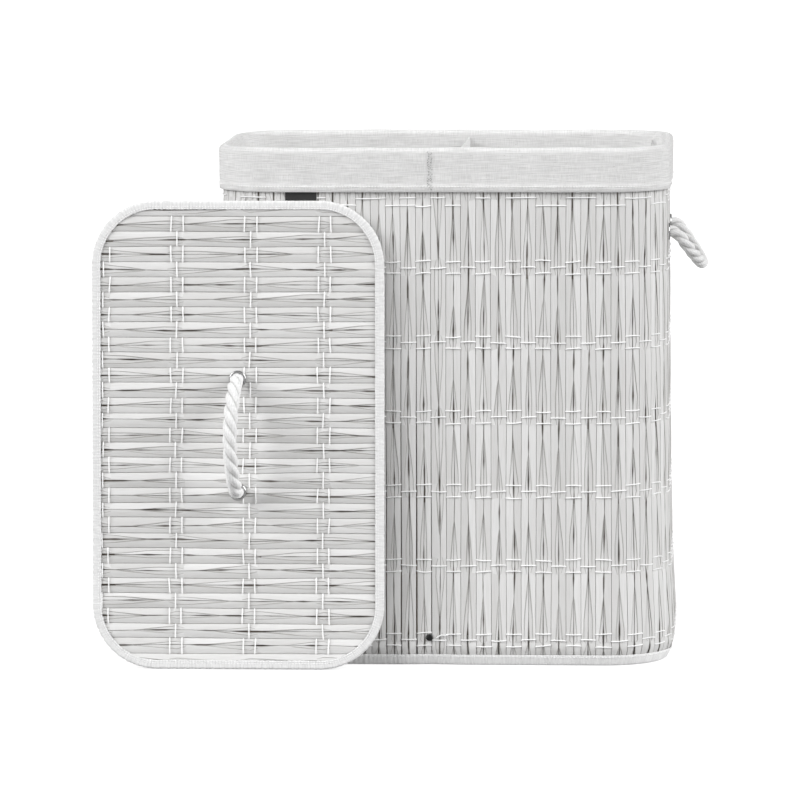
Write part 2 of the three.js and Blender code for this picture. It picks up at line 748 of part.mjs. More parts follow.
function rivetCutter(turn) {
  const cutter = new THREE.CylinderGeometry(
    rivetShankRadius + seatGap, rivetShankRadius + seatGap, 2 * (rivetShankLength + seatGap), rivetSides);
  return cutter.translate(-foldShift, -rivetOut, rivetHeight).rotateZ(turn);
}

function placeRivet(turn) {
  return rivet().rotateX(Math.PI).translate(-foldShift, -rivetOut, rivetHeight).rotateZ(turn);
}

const rivetCutters = [rivetCutter(0), rivetCutter(Math.PI)];

// The sleeve
addPiece(hamper, 'slat_sleeve', cutAway(slatSleeve(), [...endCutters, ...rivetCutters]), slatFinish);
addPiece(hamper, 'sleeve_lining', cutAway(sleeveLining(), [...endCutters, ...rivetCutters]), liningFinish);
addPiece(hamper, 'rim_binding', rimBinding(), tapeFinish);
addPiece(hamper, 'foot_binding', footBinding(), tapeFinish);
addPiece(hamper, 'rim_wire_right', rimWire(1), wireFinish);
addPiece(hamper, 'rim_wire_left', rimWire(-1), wireFinish);
const jointOut = hamperDepth / 2 + rimCentre;
addPiece(hamper, 'rim_joint_front', rimJoint().translate(-foldShift, -jointOut, rimHeight), wireFinish);
addPiece(hamper, 'rim_joint_rear', rimJoint().translate(foldShift, jointOut, rimHeight), wireFinish);
const floorSpread = wallPush(0) + liningInner - 2 * seatGap - footBindingThickness;
addPiece(hamper, 'floor_cloth', plateFromLoop(wallLoop(0, floorSpread), floorClothThickness), liningFinish);
addPiece(hamper, 'base_board_right', baseBoard(1), boardFinish);
addPiece(hamper, 'base_board_left', baseBoard(-1), boardFinish);
const tape = new THREE.BoxGeometry(tapeWidth, 2 * battenHalf, tapeThickness).rotateZ(battenTurn);
addPiece(hamper, 'board_hinge_tape', tape.translate(0, 0, tapeTop - tapeThickness / 2), liningFinish);
const batten = new THREE.BoxGeometry(battenWidth, 2 * battenHalf, battenThickness).rotateZ(battenTurn);
const battenMiddle = boardHeight - seatGap - battenThickness / 2;
addPiece(hamper, 'base_batten', cutAway(batten.translate(0, 0, battenMiddle), rivetCutters), battenFinish);
addPiece(hamper, 'base_rivet_front', placeRivet(0), blackPlasticFinish);
addPiece(hamper, 'base_rivet_rear', placeRivet(Math.PI), blackPlasticFinish);

// Eyelets, knots and rope handles of the two ends
for (const [side, turn] of wallSides) {
  const end = new THREE.Group();
  end.rotation.z = turn;
  hamper.add(end);
  for (const [place, sign] of handleEnds) {
    const y = sign * handleGrip / 2;
    addPiece(end, `${side}_eyelet_${place}`, faceOutFromEnd(eyelet(eyeletStack), y), eyeletFinish);
    addPiece(end, `${side}_washer_${place}`, faceOutFromEnd(washer(eyeletStack), y), eyeletFinish);
    addPiece(end, `${side}_knot_${place}`, faceOutFromEnd(knot(eyeletStack), y), ropeFinish);
  }
  const loop = addPiece(end, `${side}_handle_rope`, ropeLoop(sideHandleReach, handleGrip), ropeFinish);
  loop.rotation.y = sideHandleDroop;
  loop.position.set(endWallOut + hingeStandOff, 0, handleHeight);
}

// The liner
addPiece(hamper, 'liner_cuff', linerCuff(), linenFinish);
addPiece(hamper, 'liner_walls', linerWalls(), linenFinish);
addPiece(hamper, 'liner_floor', linerFloor(), linenFinish);
addPiece(hamper, 'liner_divider', linerDivider(), linenFinish);
addPiece(hamper, 'cuff_tag', sideTag(), tagFinish);

// The lid, stood on its short end and leaning back on the sleeve
const lid = new THREE.Group();
lid.rotation.x = Math.PI / 2 - lidLean;
lid.position.set(
  lidPlace, -lidStandOff + (lidLength / 2) * Math.sin(lidLean), (lidLength / 2) * Math.cos(lidLean));
hamper.add(lid);
const lidHoles = eyeletCutter(lidEyeletStack);
const lidCutters = handleEnds.map(([, sign]) => faceOutFromLid(lidHoles.clone(), sign * lidHandleGrip / 2));
const innerInset = lidBindingThickness + seatGap;
addPiece(lid, 'lid_slats', cutAway(lidSlats(), lidCutters), slatFinish);
const board = plateFromLoop(lidLoop(innerInset, lidBoardTop - lidBoardThickness), lidBoardThickness);
addPiece(lid, 'lid_board', cutAway(board, lidCutters), boardFinish);
const backing = plateFromLoop(lidLoop(innerInset, lidBackingBottom), lidBackingThickness);
addPiece(lid, 'lid_backing', cutAway(backing, lidCutters), liningFinish);
addPiece(lid, 'lid_binding', lidBinding(), tapeFinish);
for (const [place, sign] of [['lower', -1], ['upper', 1]]) {
  const y = sign * lidHandleGrip / 2;
  addPiece(lid, `lid_eyelet_${place}`, faceOutFromLid(eyelet(lidEyeletStack), y), eyeletFinish);
  addPiece(lid, `lid_washer_${place}`, faceOutFromLid(washer(lidEyeletStack), y), eyeletFinish);
  addPiece(lid, `lid_knot_${place}`, faceOutFromLid(knot(lidEyeletStack), y), ropeFinish);
}
const lidLoopRope = addPiece(lid, 'lid_handle_rope', ropeLoop(lidHandleReach, lidHandleGrip), ropeFinish);
lidLoopRope.rotation.y = -Math.PI / 2;
lidLoopRope.position.set(0, 0, lidSlatTop + seatGap + hingeStandOff);

export default hamper;
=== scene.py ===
"""A folding laundry hamper with two bins: slat bundles tied round a cloth lining, a divided linen liner
with its cuff turned over the rim, rope handles, and the loose lid of the same slats leaning on its front.
Lengths are metres and angles radians, unless a name says otherwise."""
import math
import bpy
import numpy as np
from mathutils import Matrix


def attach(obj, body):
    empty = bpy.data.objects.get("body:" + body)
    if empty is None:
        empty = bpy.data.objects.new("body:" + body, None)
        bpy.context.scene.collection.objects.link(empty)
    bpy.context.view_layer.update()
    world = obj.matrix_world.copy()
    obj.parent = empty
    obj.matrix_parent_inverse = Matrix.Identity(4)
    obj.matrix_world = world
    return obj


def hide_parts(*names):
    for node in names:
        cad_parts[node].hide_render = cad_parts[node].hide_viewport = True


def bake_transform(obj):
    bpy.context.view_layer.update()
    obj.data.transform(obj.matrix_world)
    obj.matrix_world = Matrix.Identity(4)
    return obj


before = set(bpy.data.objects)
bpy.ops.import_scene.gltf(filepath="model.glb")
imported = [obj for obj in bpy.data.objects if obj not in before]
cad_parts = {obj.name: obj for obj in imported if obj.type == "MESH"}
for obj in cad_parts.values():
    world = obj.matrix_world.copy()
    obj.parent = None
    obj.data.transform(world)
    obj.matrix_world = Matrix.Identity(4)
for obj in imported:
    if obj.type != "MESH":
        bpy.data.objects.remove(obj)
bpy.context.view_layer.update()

# The camera stands 6.3 m in front of the hamper, 0.42 m above its rim and a little to the right, and looks
# slightly down and to the left through a long lens, as the outlines of the rim, the foot and the lid say.
camera_place = (0.3414, -6.296, 1.020)
camera_turn_left = math.radians(3.64)
camera_pitch_down = math.radians(6.60)
camera_roll = math.radians(-0.25)
camera_lens_mm = 241.5
camera_far_limit = 100
camera_data = bpy.data.cameras.new("camera")
camera_data.lens = camera_lens_mm
camera_data.clip_end = camera_far_limit
camera = bpy.data.objects.new("camera", camera_data)
camera.matrix_world = (
    Matrix.Translation(camera_place)
    @ Matrix.Rotation(camera_turn_left, 4, "Z")
    @ Matrix.Rotation(math.pi / 2 - camera_pitch_down, 4, "X")
    @ Matrix.Rotation(camera_roll, 4, "Z")
)
bpy.context.scene.collection.objects.link(camera)
bpy.context.scene.camera = camera
bpy.context.scene.view_settings.view_transform = "Standard"

# Three rope handles of white three-strand cotton, one on each end wall and one on the lid. Each rope is laid
# up left-handed, passes through two eyelets and is knotted behind them; its loop between them is free.
hamper_width, hamper_depth, hamper_height = 0.517, 0.323, 0.600
slat_face = 0.0003
rope_radius, rope_lay = 0.0071, 0.051
rope_fullness, fullness_reach = 0.0012, 0.010
strand_share = 0.59
yarn_count, yarn_lean = 16, 0.6
yarn_height_share, yarn_shade = 0.022, 0.18
# Painted shade in the hollows between the strands: from what depth into a hollow it darkens, and how sharply.
valley_depth_share, valley_sharpness = 0.31, 6
rope_step, rope_sides = 0.0010, 48
handle_grip, handle_height = 0.130, 0.496
side_reach, side_droop = 0.051, math.radians(54.8)
lid_reach, lid_bow = 0.046, 0.0040
hinge_stand_off, hinge_gap = 0.0094, 0.001
rope_end_inside, grip_margin = 0.0190, 0.002
grip_end = rope_end_inside + hinge_stand_off + grip_margin
loop_points, straight_points = 90, 14
path_step, path_rounding = 0.002, 14
base_push = 0.008
push_height_shares = [0, 0.021, 0.034, 0.06, 0.12, 0.2, 0.3, 0.5, 0.77, 0.9, 1]
push_shares = [-0.3, 0.55, 0.95, 1, 0.75, 0.48, 0.3, 0.15, 0.04, 0, 0]


def wall_push(height):
    """How far the wall stands out at a height: the base boards push it out near the floor."""
    return base_push * np.interp(height / hamper_height, push_height_shares, push_shares)


def strips(name, points, material, uv=None, marks=None, closed=False, smooth_angle=50):
    """A skin over points[strip, station, corner]. A strip's corners are its section. Four-sided faces join
    neighbours along it and round it, and a ladder of faces across the section closes each end, or a closed
    strip's last section joins its first. uv[strip, station, corner + 1] follows the surface, with one more
    station where it is closed. Marks are named numbers, one for each point."""
    count, stations, corners = points.shape[:3]
    index = np.arange(count * stations * corners).reshape(count, stations, corners)
    here = index if closed else index[:, :-1]
    ahead = np.roll(index, -1, 1) if closed else index[:, 1:]
    faces = [np.stack([here, np.roll(here, -1, 2), np.roll(ahead, -1, 2), ahead], -1).reshape(-1, 4)]
    rung = np.arange(corners // 2 - 1)
    ladder = np.stack([rung, rung + 1, corners - 2 - rung, corners - 1 - rung], -1)
    if not closed:
        faces += [index[:, 0][:, ladder[:, ::-1]].reshape(-1, 4), index[:, -1][:, ladder].reshape(-1, 4)]
    quads = np.concatenate(faces)
    flat = points.reshape(-1, 3)
    first = quads[quads[:, 0] < stations * corners]
    a, b, c, d = (flat[first[:, k]] - flat[0] for k in range(4))
    inside_out = np.sum(np.cross(a, b) * c) + np.sum(np.cross(a, c) * d) < 0
    mesh = bpy.data.meshes.new(name)
    mesh.vertices.add(len(flat))
    mesh.vertices.foreach_set("co", flat.astype(np.float32).ravel())
    mesh.loops.add(quads.size)
    mesh.loops.foreach_set("vertex_index", (quads[:, ::-1] if inside_out else quads).astype(np.int32).ravel())
    mesh.polygons.add(len(quads))
    mesh.polygons.foreach_set("loop_start", np.arange(0, quads.size, 4, dtype=np.int32))
    mesh.update(calc_edges=True)
    if uv is not None:
        wide = np.arange(uv.size // 2).reshape(uv.shape[:3])
        cells = [wide[:, :-1, :-1], wide[:, :-1, 1:], wide[:, 1:, 1:], wide[:, 1:, :-1]]
        taken = [np.stack(cells, -1).reshape(-1, 4)]
        if not closed:
            taken += [wide[:, 0][:, ladder[:, ::-1]].reshape(-1, 4), wide[:, -1][:, ladder].reshape(-1, 4)]
        taken = np.concatenate(taken)
        taken = taken[:, ::-1] if inside_out else taken
        layer = mesh.uv_layers.new(name="UVMap")
        layer.data.foreach_set("uv", uv.reshape(-1, 2)[taken.ravel()].astype(np.float32).ravel())
    for mark, values in (marks or {}).items():
        attribute = mesh.attributes.new(mark, "FLOAT", "POINT")
        attribute.data.foreach_set("value", values.astype(np.float32).ravel())
    mesh.materials.append(material)
    mesh.shade_smooth()
    mesh.set_sharp_from_angle(angle=math.radians(smooth_angle))
    piece = bpy.data.objects.new(name, mesh)
    bpy.context.scene.collection.objects.link(piece)
    return piece


def fasten(piece, body, slot, *nodes):
    """The piece moves with a body and stands for these solids, which are hidden; its slot is not used."""
    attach(piece, body)
    if nodes:
        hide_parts(*nodes)
    return piece


def add_node(tree, kind, inputs=None, **settings):
    """A shader node; each input is a plain value or another node's output."""
    node = tree.nodes.new("ShaderNode" + kind)
    for key, value in settings.items():
        setattr(node, key, value)
    for key, value in (inputs or {}).items():
        if isinstance(value, bpy.types.NodeSocket):
            tree.links.new(value, node.inputs[key])
        else:
            node.inputs[key].default_value = value
    return node


def new_material(name, constants):
    """A material, its tree and its surface shader, with the shader's constant values set on its sockets."""
    material = bpy.data.materials.new(name)
    material.use_nodes = True
    surface = material.node_tree.nodes["Principled BSDF"]
    for key, value in constants.items():
        surface.inputs[key].default_value = value
    return material, material.node_tree, surface


def on_surface(tree, across, along):
    """The piece's own surface coordinates, multiplied across and along."""
    uv = add_node(tree, "UVMap", uv_map="UVMap")
    return add_node(tree, "Mapping", {"Vector": uv.outputs[0], "Scale": (across, along, 1)}).outputs[0]


def noise(tree, vector, scale=1.0, detail=2.0):
    """Soft random values round a half."""
    return add_node(tree, "TexNoise", {"Vector": vector, "Scale": scale, "Detail": detail}).outputs[0]


def between(tree, factor, low, high):
    """A colour between two, by a factor."""
    return add_node(tree, "Mix", {0: factor, 6: low, 7: high}, data_type="RGBA").outputs[2]


def contrast(tree, value, low, high):
    """A value stretched so that low becomes nothing and high becomes one, and held there."""
    return add_node(tree, "MapRange", {0: value, 1: low, 2: high}, clamp=True).outputs[0]


def mark(tree, name):
    """The named number that a mesh carries at its points."""
    return add_node(tree, "Attribute", attribute_name=name).outputs["Fac"]


def rough_up(tree, surface, height, distance, strength=1.0):
    """Small relief from a height value, by a real depth in metres."""
    bump = add_node(tree, "Bump", {"Strength": strength, "Distance": distance, "Height": height})
    tree.links.new(bump.outputs[0], surface.inputs["Normal"])


def grey(level, warmth=0.0):
    """A grey as a linear colour, warmer than neutral by a share."""
    return (level * (1 + warmth), level, level * (1 - 1.6 * warmth), 1)


def cotton_rope():
    """White cotton: fine lint over the yarns, and painted shade in the hollows between the strands and
    between the yarns.
    """
    material, tree, surface = new_material("cotton_rope", {"Roughness": 0.95, "Sheen Weight": 0.25})
    lint = noise(tree, on_surface(tree, 34.0, 380.0), detail=4.0)
    light = between(tree, contrast(tree, lint, 0.33, 0.67), grey(0.69), grey(0.88))
    # Painted shade: the rope darkens towards grey in the hollows between its strands and yarns.
    colour = between(tree, mark(tree, "valley_shade"), light, grey(0.40, 0.01))
    tree.links.new(colour, surface.inputs["Base Color"])
    rough_up(tree, surface, lint, 0.0005)
    return material


def along_path(path, step):
    """Points at even steps along a path through given points, and the distance of each from its start."""
    reach = np.concatenate([[0], np.cumsum(np.linalg.norm(np.diff(path, axis=0), axis=1))])
    spaced = np.linspace(0, reach[-1], int(round(reach[-1] / step)) + 1)
    return np.stack([np.interp(spaced, reach, path[:, k]) for k in range(3)], 1), spaced


def laid_rope(name, path, side, material, radius=rope_radius, lay=rope_lay, swell=0.0):
    """A laid rope along a path. Round the path at angle a, its surface stands at the outline of three equal
    circles set evenly round the middle, and that outline turns once in each lay. The ridges of the yarns
    lie nearly along the rope. Away from its ends, where nothing grips it, it swells a little. side is a
    direction that no part of the path follows."""
    centre, spaced = along_path(path, rope_step)
    from_end = np.minimum(spaced, spaced[-1] - spaced)[:, None]
    radius = radius + swell * np.clip((from_end - grip_end) / fullness_reach, 0, 1)
    forward = np.gradient(centre, axis=0)
    forward /= np.linalg.norm(forward, axis=1)[:, None]
    first = np.cross(side, forward)
    first /= np.linalg.norm(first, axis=1)[:, None]
    second = np.cross(forward, first)
    angle = np.linspace(0, 2 * np.pi, rope_sides, endpoint=False)[None, :]
    turn = 2 * np.pi * spaced[:, None] / lay
    third = 2 * np.pi / 3
    off_strand = (angle + turn + third / 2) % third - third / 2
    circle = strand_share * radius
    offset = radius - circle
    outline = offset * np.cos(off_strand) + np.sqrt(circle**2 - (offset * np.sin(off_strand)) ** 2)
    yarns = np.cos(yarn_count * angle - yarn_lean * turn)
    skin = outline + yarn_height_share * radius * yarns
    points = (
        centre[:, None]
        + (skin * np.cos(angle))[..., None] * first[:, None]
        + (skin * np.sin(angle))[..., None] * second[:, None]
    )
    # Painted shade, carried as a mark: darkest deep in the hollows between the strands, and a little between
    # the yarns.
    valley_shade = np.clip((radius - outline) / (valley_depth_share * radius), 0, 1) ** valley_sharpness
    valley_shade = np.clip(valley_shade + yarn_shade * np.clip(-yarns, 0, 1), 0, 1)
    round_share = np.linspace(0, 1, angle.size + 1)[None, :] + 0 * spaced[:, None]
    uv = np.stack([round_share, np.broadcast_to(spaced[:, None], round_share.shape)], -1)
    return strips(name, points[None], material, uv[None], {"valley_shade": valley_shade})


def handle_loop(reach, droop):
    """A handle's middle line as [out, across, up] from the middle of its hinge line: straight out of the
    first eyelet, round half an ellipse that hangs at the droop, and straight into the second. The corners
    between them are rounded by averaging neighbours again and again."""
    angle = np.linspace(-np.pi / 2, np.pi / 2, loop_points)
    ahead = reach * np.cos(angle)
    loop = np.stack([ahead * math.cos(droop), handle_grip / 2 * np.sin(angle), -ahead * math.sin(droop)], 1)
    straight = np.linspace(-hinge_stand_off - rope_end_inside, -hinge_gap, straight_points)
    start = np.stack([straight, 0 * straight - handle_grip / 2, 0 * straight], 1)
    path = np.concatenate([start, loop, start[::-1] * [1, -1, 1]])
    path = along_path(path, path_step)[0]
    for _ in range(path_rounding):
        path[1:-1] = (path[:-2] + 2 * path[1:-1] + path[2:]) / 4
    return path


def declare_rope(rope, handle):
    """The rope takes the place of the handle's rope solid, which is hidden, and stays where it is made."""
    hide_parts(f"{handle}_rope")
    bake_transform(rope)


rope_finish = cotton_rope()
wall_face = hamper_width / 2 + float(wall_push(handle_height)) + slat_face
for side_name, sign in (("right", 1), ("left", -1)):
    hinge = np.array([sign * (wall_face + hinge_stand_off), 0, handle_height])
    path = handle_loop(side_reach, side_droop) * [sign, sign, 1] + hinge
    rope = laid_rope(f"{side_name}_rope", path, np.array([0.5, 0.0, 1.0]) * [sign, 1, 1], rope_finish)
    declare_rope(rope, f"{side_name}_handle")

lid_lean_sine = 0.061167
lid_middle = np.array([-0.2345, -0.178315, 0.2694944])
lid_up = np.array([0, lid_lean_sine, math.sqrt(1 - lid_lean_sine**2)])
lid_out = np.array([0, -lid_up[2], lid_up[1]])
lid_right = np.array([1.0, 0, 0])
lid_face = 0.0093


def lid_place(up, right, out):
    """A place on the lid: up along its length, right across its width, out from its back face."""
    up, right, out = (part[..., None] for part in np.broadcast_arrays(up, right, out))
    return lid_middle + up * lid_up + right * lid_right + out * lid_out


loop = handle_loop(lid_reach, 0.0)
hinge_rise = lid_face + hinge_stand_off
path = lid_place(loop[:, 1], -lid_bow * np.cos(np.pi * loop[:, 1] / handle_grip), hinge_rise + loop[:, 0])
rope = laid_rope("lid_rope", path, np.array([1.0, 0.0, 0.0]), rope_finish, swell=rope_fullness)
declare_rope(rope, "lid_handle")

# The hamper stands on a plain white floor between two wide soft lamps, one on each side and 28 degrees up, in
# even light from all round. What the camera sees of floor and sky is white, with the hamper's soft shadow.
floor_reach, floor_drop = 30.0, 0.0005
sky_light = 0.26
lamps = {"left": (2.85, -60), "right": (2.72, 68)}
lamp_softness = math.radians(42)
lamp_down = math.radians(28)
floor_tone, floor_glow = 0.42, 0.78


def seen_directly(tree):
    """One for a ray from the camera, and nothing for any other."""
    return add_node(tree, "LightPath").outputs["Is Camera Ray"]


world = bpy.data.worlds.new("studio")
world.use_nodes = True
bpy.context.scene.world = world
sky = world.node_tree.nodes["Background"]
sky.inputs["Color"].default_value = (1, 1, 1, 1)
sky_level = add_node(world.node_tree, "MapRange", {0: seen_directly(world.node_tree), 3: sky_light, 4: 1.0})
world.node_tree.links.new(sky_level.outputs[0], sky.inputs["Strength"])

for side_name, (strength, from_front) in lamps.items():
    lamp_data = bpy.data.lights.new(f"{side_name}_lamp", "SUN")
    lamp_data.energy = strength
    lamp_data.angle = lamp_softness
    lamp = bpy.data.objects.new(f"{side_name}_lamp", lamp_data)
    lamp.rotation_euler = (math.pi / 2 - lamp_down, 0, math.radians(from_front))
    bpy.context.scene.collection.objects.link(lamp)

floor_material, tree, surface = new_material("floor", {"Roughness": 1.0, "Specular IOR Level": 0.0})
surface.inputs["Base Color"].default_value = grey(floor_tone)
surface.inputs["Emission Color"].default_value = (1, 1, 1, 1)
glow = add_node(tree, "Math", {0: seen_directly(tree), 1: floor_glow}, operation="MULTIPLY")
tree.links.new(glow.outputs[0], surface.inputs["Emission Strength"])
floor_mesh = bpy.data.meshes.new("floor")
corners = [(x * floor_reach, y * floor_reach, -floor_drop) for x, y in ((-1, -1), (1, -1), (1, 1), (-1, 1))]
floor_mesh.from_pydata(corners, [], [(0, 1, 2, 3)])
floor_mesh.materials.append(floor_material)
floor = bpy.data.objects.new("floor", floor_mesh)
bpy.context.scene.collection.objects.link(floor)

# The sleeve's wall is 90 bundles of thin flat slats, stained light grey, tied side by side in seven bands.
# A bundle shows two pairs of wide slats that take turns: between two ties one pair lies on top and parts
# towards the lower tie, where the other pair shows beneath it. Brown slats behind them show in the slits,
# their brown kept dark as painted shade of the slits.
corner_radius = 0.073
fold_shift = 0.013
fold_reach = 0.0345
fold_depth = 0.003
crease_height_shares = [0, 0.5, 0.85, 1]
crease_shares = [1, 0.8, 0, 0]
wall_bottom, wall_top = 0.0012, 0.5910
lowest_band, band_spacing = 0.0302, 0.0864
bundle_count = 90
pair_offset = 0.0070
slat_thickness = 0.0009
inner_bevel, outer_bevel = 0.00050, 0.00032

# A bundle's four slats are two pairs, and each slat lies to one side of the middle. The tables of six go
# across a slat from its inner edge: how dark it is there, by the cut edge's own colour and by painted shade
# of the steps, gaps and slits beside it, and which points lie by the slit.
slat_side = np.array([-1, 1, -1, 1])
cut_edge_and_shade_shares = np.array([1.0, 0.6, 0, 0, 0, 0.8])
slit_side = np.array([1, 1, 0, 0, 0, 0])
grain_shift = 0.0371
upper_lift, lower_lift, lift_spread = 0.0002, -0.0003, 0.00005
wall_crown, wall_pinch, tie_squeeze_reach = 0.0005, 0.0005, 0.009
inner_crown, wall_inner_depth = 0.0002, 0.0020
slat_roll = math.radians(2.5)

# Starts, runs, settling and the places of slits are shares of the span between two ties, and the rest are
# shares of a bundle's width.
slat_stop_shares = np.array([0, 0.08, 0.16, 0.28, 0.4, 0.5, 0.6, 0.72, 0.84, 0.92])
start_shares, parting_shares, middle_spread_share = (0.09, 0.55), (0.14, 0.28), 0.045
parting_run_share, closing_run_share, settling_share = 0.55, 0.16, 0.2
slit_width_shares, slit_reach = (0.000, 0.026), (0.007, 0.013)
early_slit_shares, late_slit_shares = (0.3, 0.9), (0.35, 0.95)
least_slit_share, edge_gap_share, back_gap_share, shut_share = 0.001, 0.003, 0.005, 0.02
edge_spread_share, turned_bundles_share = 0.022, 0.06
fold_gap_bundles, fold_gap_shares = [87, 88, 89, 0], [0.03, 0.035, 0.05, 0.02]
fold_gap_heights, fold_gap_height_shares = [0, 0.12, 0.45], [1, 0.8, 0]

straight_long = hamper_width - 2 * corner_radius
straight_short = hamper_depth - 2 * corner_radius
perimeter = 2 * (straight_long + straight_short + math.pi * corner_radius)
bundle_pitch = perimeter / bundle_count
bands = lowest_band + band_spacing * np.arange(7)


def walk_round(distance, straight_x, straight_y, radius):
    """Where a distance round a rounded rectangle leads, anticlockwise from the start of its front side:
    which corner circles it stands off, as shares from -1 to 1 of their places, and the direction that
    faces out there."""
    turn = math.pi * radius / 2
    stops = np.cumsum([0] + [straight_x, turn, straight_y, turn] * 2)
    left = np.mod(distance, stops[-1])
    return (np.interp(left, stops, [-1, 1, 1, 1, 1, -1, -1, -1, -1]),
            np.interp(left, stops, [-1, -1, -1, 1, 1, 1, 1, -1, -1]),
            np.interp(left, stops, np.array([-1, -1, 0, 0, 1, 1, 2, 2, 3]) * math.pi / 2))


def wall_walk(distance):
    """The same round the wall, starting from the front fold."""
    return walk_round(distance + straight_long / 2 - fold_shift, straight_long, straight_short, corner_radius)


def from_fold(distance):
    """How far a place round the wall is from the nearer fold. The folds are half the way round apart."""
    return np.abs(np.mod(distance + perimeter / 4, perimeter / 2) - perimeter / 4)


def wall_crease(height):
    """How deep the two folds are creased at a height: most at the floor, and not at all at the rim."""
    return fold_depth * np.interp(height / hamper_height, crease_height_shares, crease_shares)


def wall_place(distance, height, out):
    """A place on the wall: a distance round it, a height, and out from its line. The line is pushed out by
    the base boards and creased inwards at the two folds."""
    distance, height, out = np.broadcast_arrays(distance, height, out)
    x, y, facing = wall_walk(distance)
    crease = wall_crease(height) * np.clip(1 - from_fold(distance) / fold_reach, 0, 1)
    reach = corner_radius + out + wall_push(height) - crease
    return np.stack([
        x * straight_long / 2 + reach * np.cos(facing),
        y * straight_short / 2 + reach * np.sin(facing), height], -1)


def slat_stations(levels):
    """Where the sections lie along a bundle: the span between two ties that each is in, how far along that
    span, and the place along the bundle."""
    span = np.append(np.repeat(np.arange(len(levels) - 1), len(slat_stop_shares)), len(levels) - 2)
    share = np.append(np.tile(slat_stop_shares, len(levels) - 1), 1.0)
    return span, share, levels[span] + share * np.diff(levels)[span]


def at_levels(values, span, share):
    """Values given at each tie, in even steps between them."""
    return values[..., span] + (values[..., span + 1] - values[..., span]) * share


def weave(edges, towards, levels, random):
    """The four slats of each bundle: their two edges, in shares of its width, how far up they lie and their
    tone, each as [slat, station]. edges[bundle, side, tie] are the bundle's own edges. Towards is -1 where
    the upper pair is together at the later tie and parts towards the earlier one, and 1 the other way.
    The inner edges of both pairs stand off a wandering middle line by the same few narrow slits, which are
    bell curves, and the upper pair's part from it evenly after a start somewhere in the span."""
    span, share, along = slat_stations(levels)
    count, spans = len(edges), len(levels) - 1
    gone = np.where(towards[:, None] > 0, share, 1 - share)[:, None]
    start = random.uniform(*start_shares, (count, 1, spans))
    opening = random.uniform(*parting_shares, (count, 2, spans))
    opening = opening * np.minimum(1, (1 - start) / parting_run_share)
    earlier = np.where(towards[:, None, None] > 0, np.roll(opening, 1, 2), np.roll(opening, -1, 2))
    begun = start[..., span]
    parted = opening[..., span] * np.clip((gone - begun) / np.minimum(parting_run_share, 1 - begun), 0, 1)
    closing = earlier[..., span] * np.clip(1 - gone / closing_run_share, 0, 1)
    slit_share = np.concatenate([
        start * random.uniform(*early_slit_shares, start.shape),
        start + (1 - start) * random.uniform(*late_slit_shares, start.shape)], 1)
    slit_share = np.where(towards[:, None, None] > 0, slit_share, 1 - slit_share)
    slit_middle = (levels[:-1] + np.diff(levels) * slit_share).reshape(count, 1, -1)
    slit_width = random.uniform(*slit_width_shares, slit_middle.shape)
    slit_length = random.uniform(*slit_reach, slit_middle.shape)
    slits = (slit_width * np.exp(-((along[None, :, None] - slit_middle) / slit_length) ** 2)).sum(-1)[:, None]
    middle = at_levels(random.normal(0, middle_spread_share, (count, 1, spans + 1)), span, share)
    upper = (span[None] + np.array([[0], [1]])) % 2 == 0
    settled = np.clip(gone / settling_share, 0, 1)
    side = np.array([[-1], [1]])
    inner, outer, lift, gape = [], [], [], []
    for pair in (0, 1):
        on_top = upper[pair]
        gape.append(slits + np.where(on_top, parted, closing))
        inner.append(middle + side * (least_slit_share + gape[-1]))
        outer.append(at_levels(edges, span, share) - edge_gap_share * side)
        raised = np.where(on_top, settled, 1 - settled)
        lift.append((lower_lift + (upper_lift - lower_lift) * raised) * np.ones((1, 2, 1)))
    inner, outer, lift, gape = (
        np.concatenate(part, 1).reshape(4 * count, -1) for part in (inner, outer, lift, gape))
    lift = lift + random.uniform(-lift_spread, lift_spread, (4 * count, 1))
    rolled = random.normal(0, slat_roll, (4 * count, spans))[:, span] * np.sin(np.pi * share)
    tones = random.uniform(0, 1, 4 * count)
    return {"inner": inner, "outer": outer, "lift": lift, "rolled": rolled, "side": np.tile(slat_side, count),
            "bundle": np.repeat(np.arange(count), 4), "shade": tones, "along": along,
            "shut": 0.5 * np.clip(1 - gape / shut_share, 0, 1)}


def backs(bundles, along):
    """Two wide slats side by side in each bundle, straight from end to end, in the terms that weave gives.
    Their tones go up by an uneven share of the whole range, and start again at its end."""
    flat = np.zeros((2 * bundles, len(along)))
    side = np.tile([-1, 1], bundles)
    outer = flat + (0.5 - back_gap_share) * side[:, None]
    tones = np.arange(2 * bundles) * 0.37 % 1
    return {"inner": flat, "outer": outer, "lift": flat, "rolled": flat, "side": side,
            "bundle": np.repeat(np.arange(bundles), 2), "shade": tones, "along": along, "shut": flat}


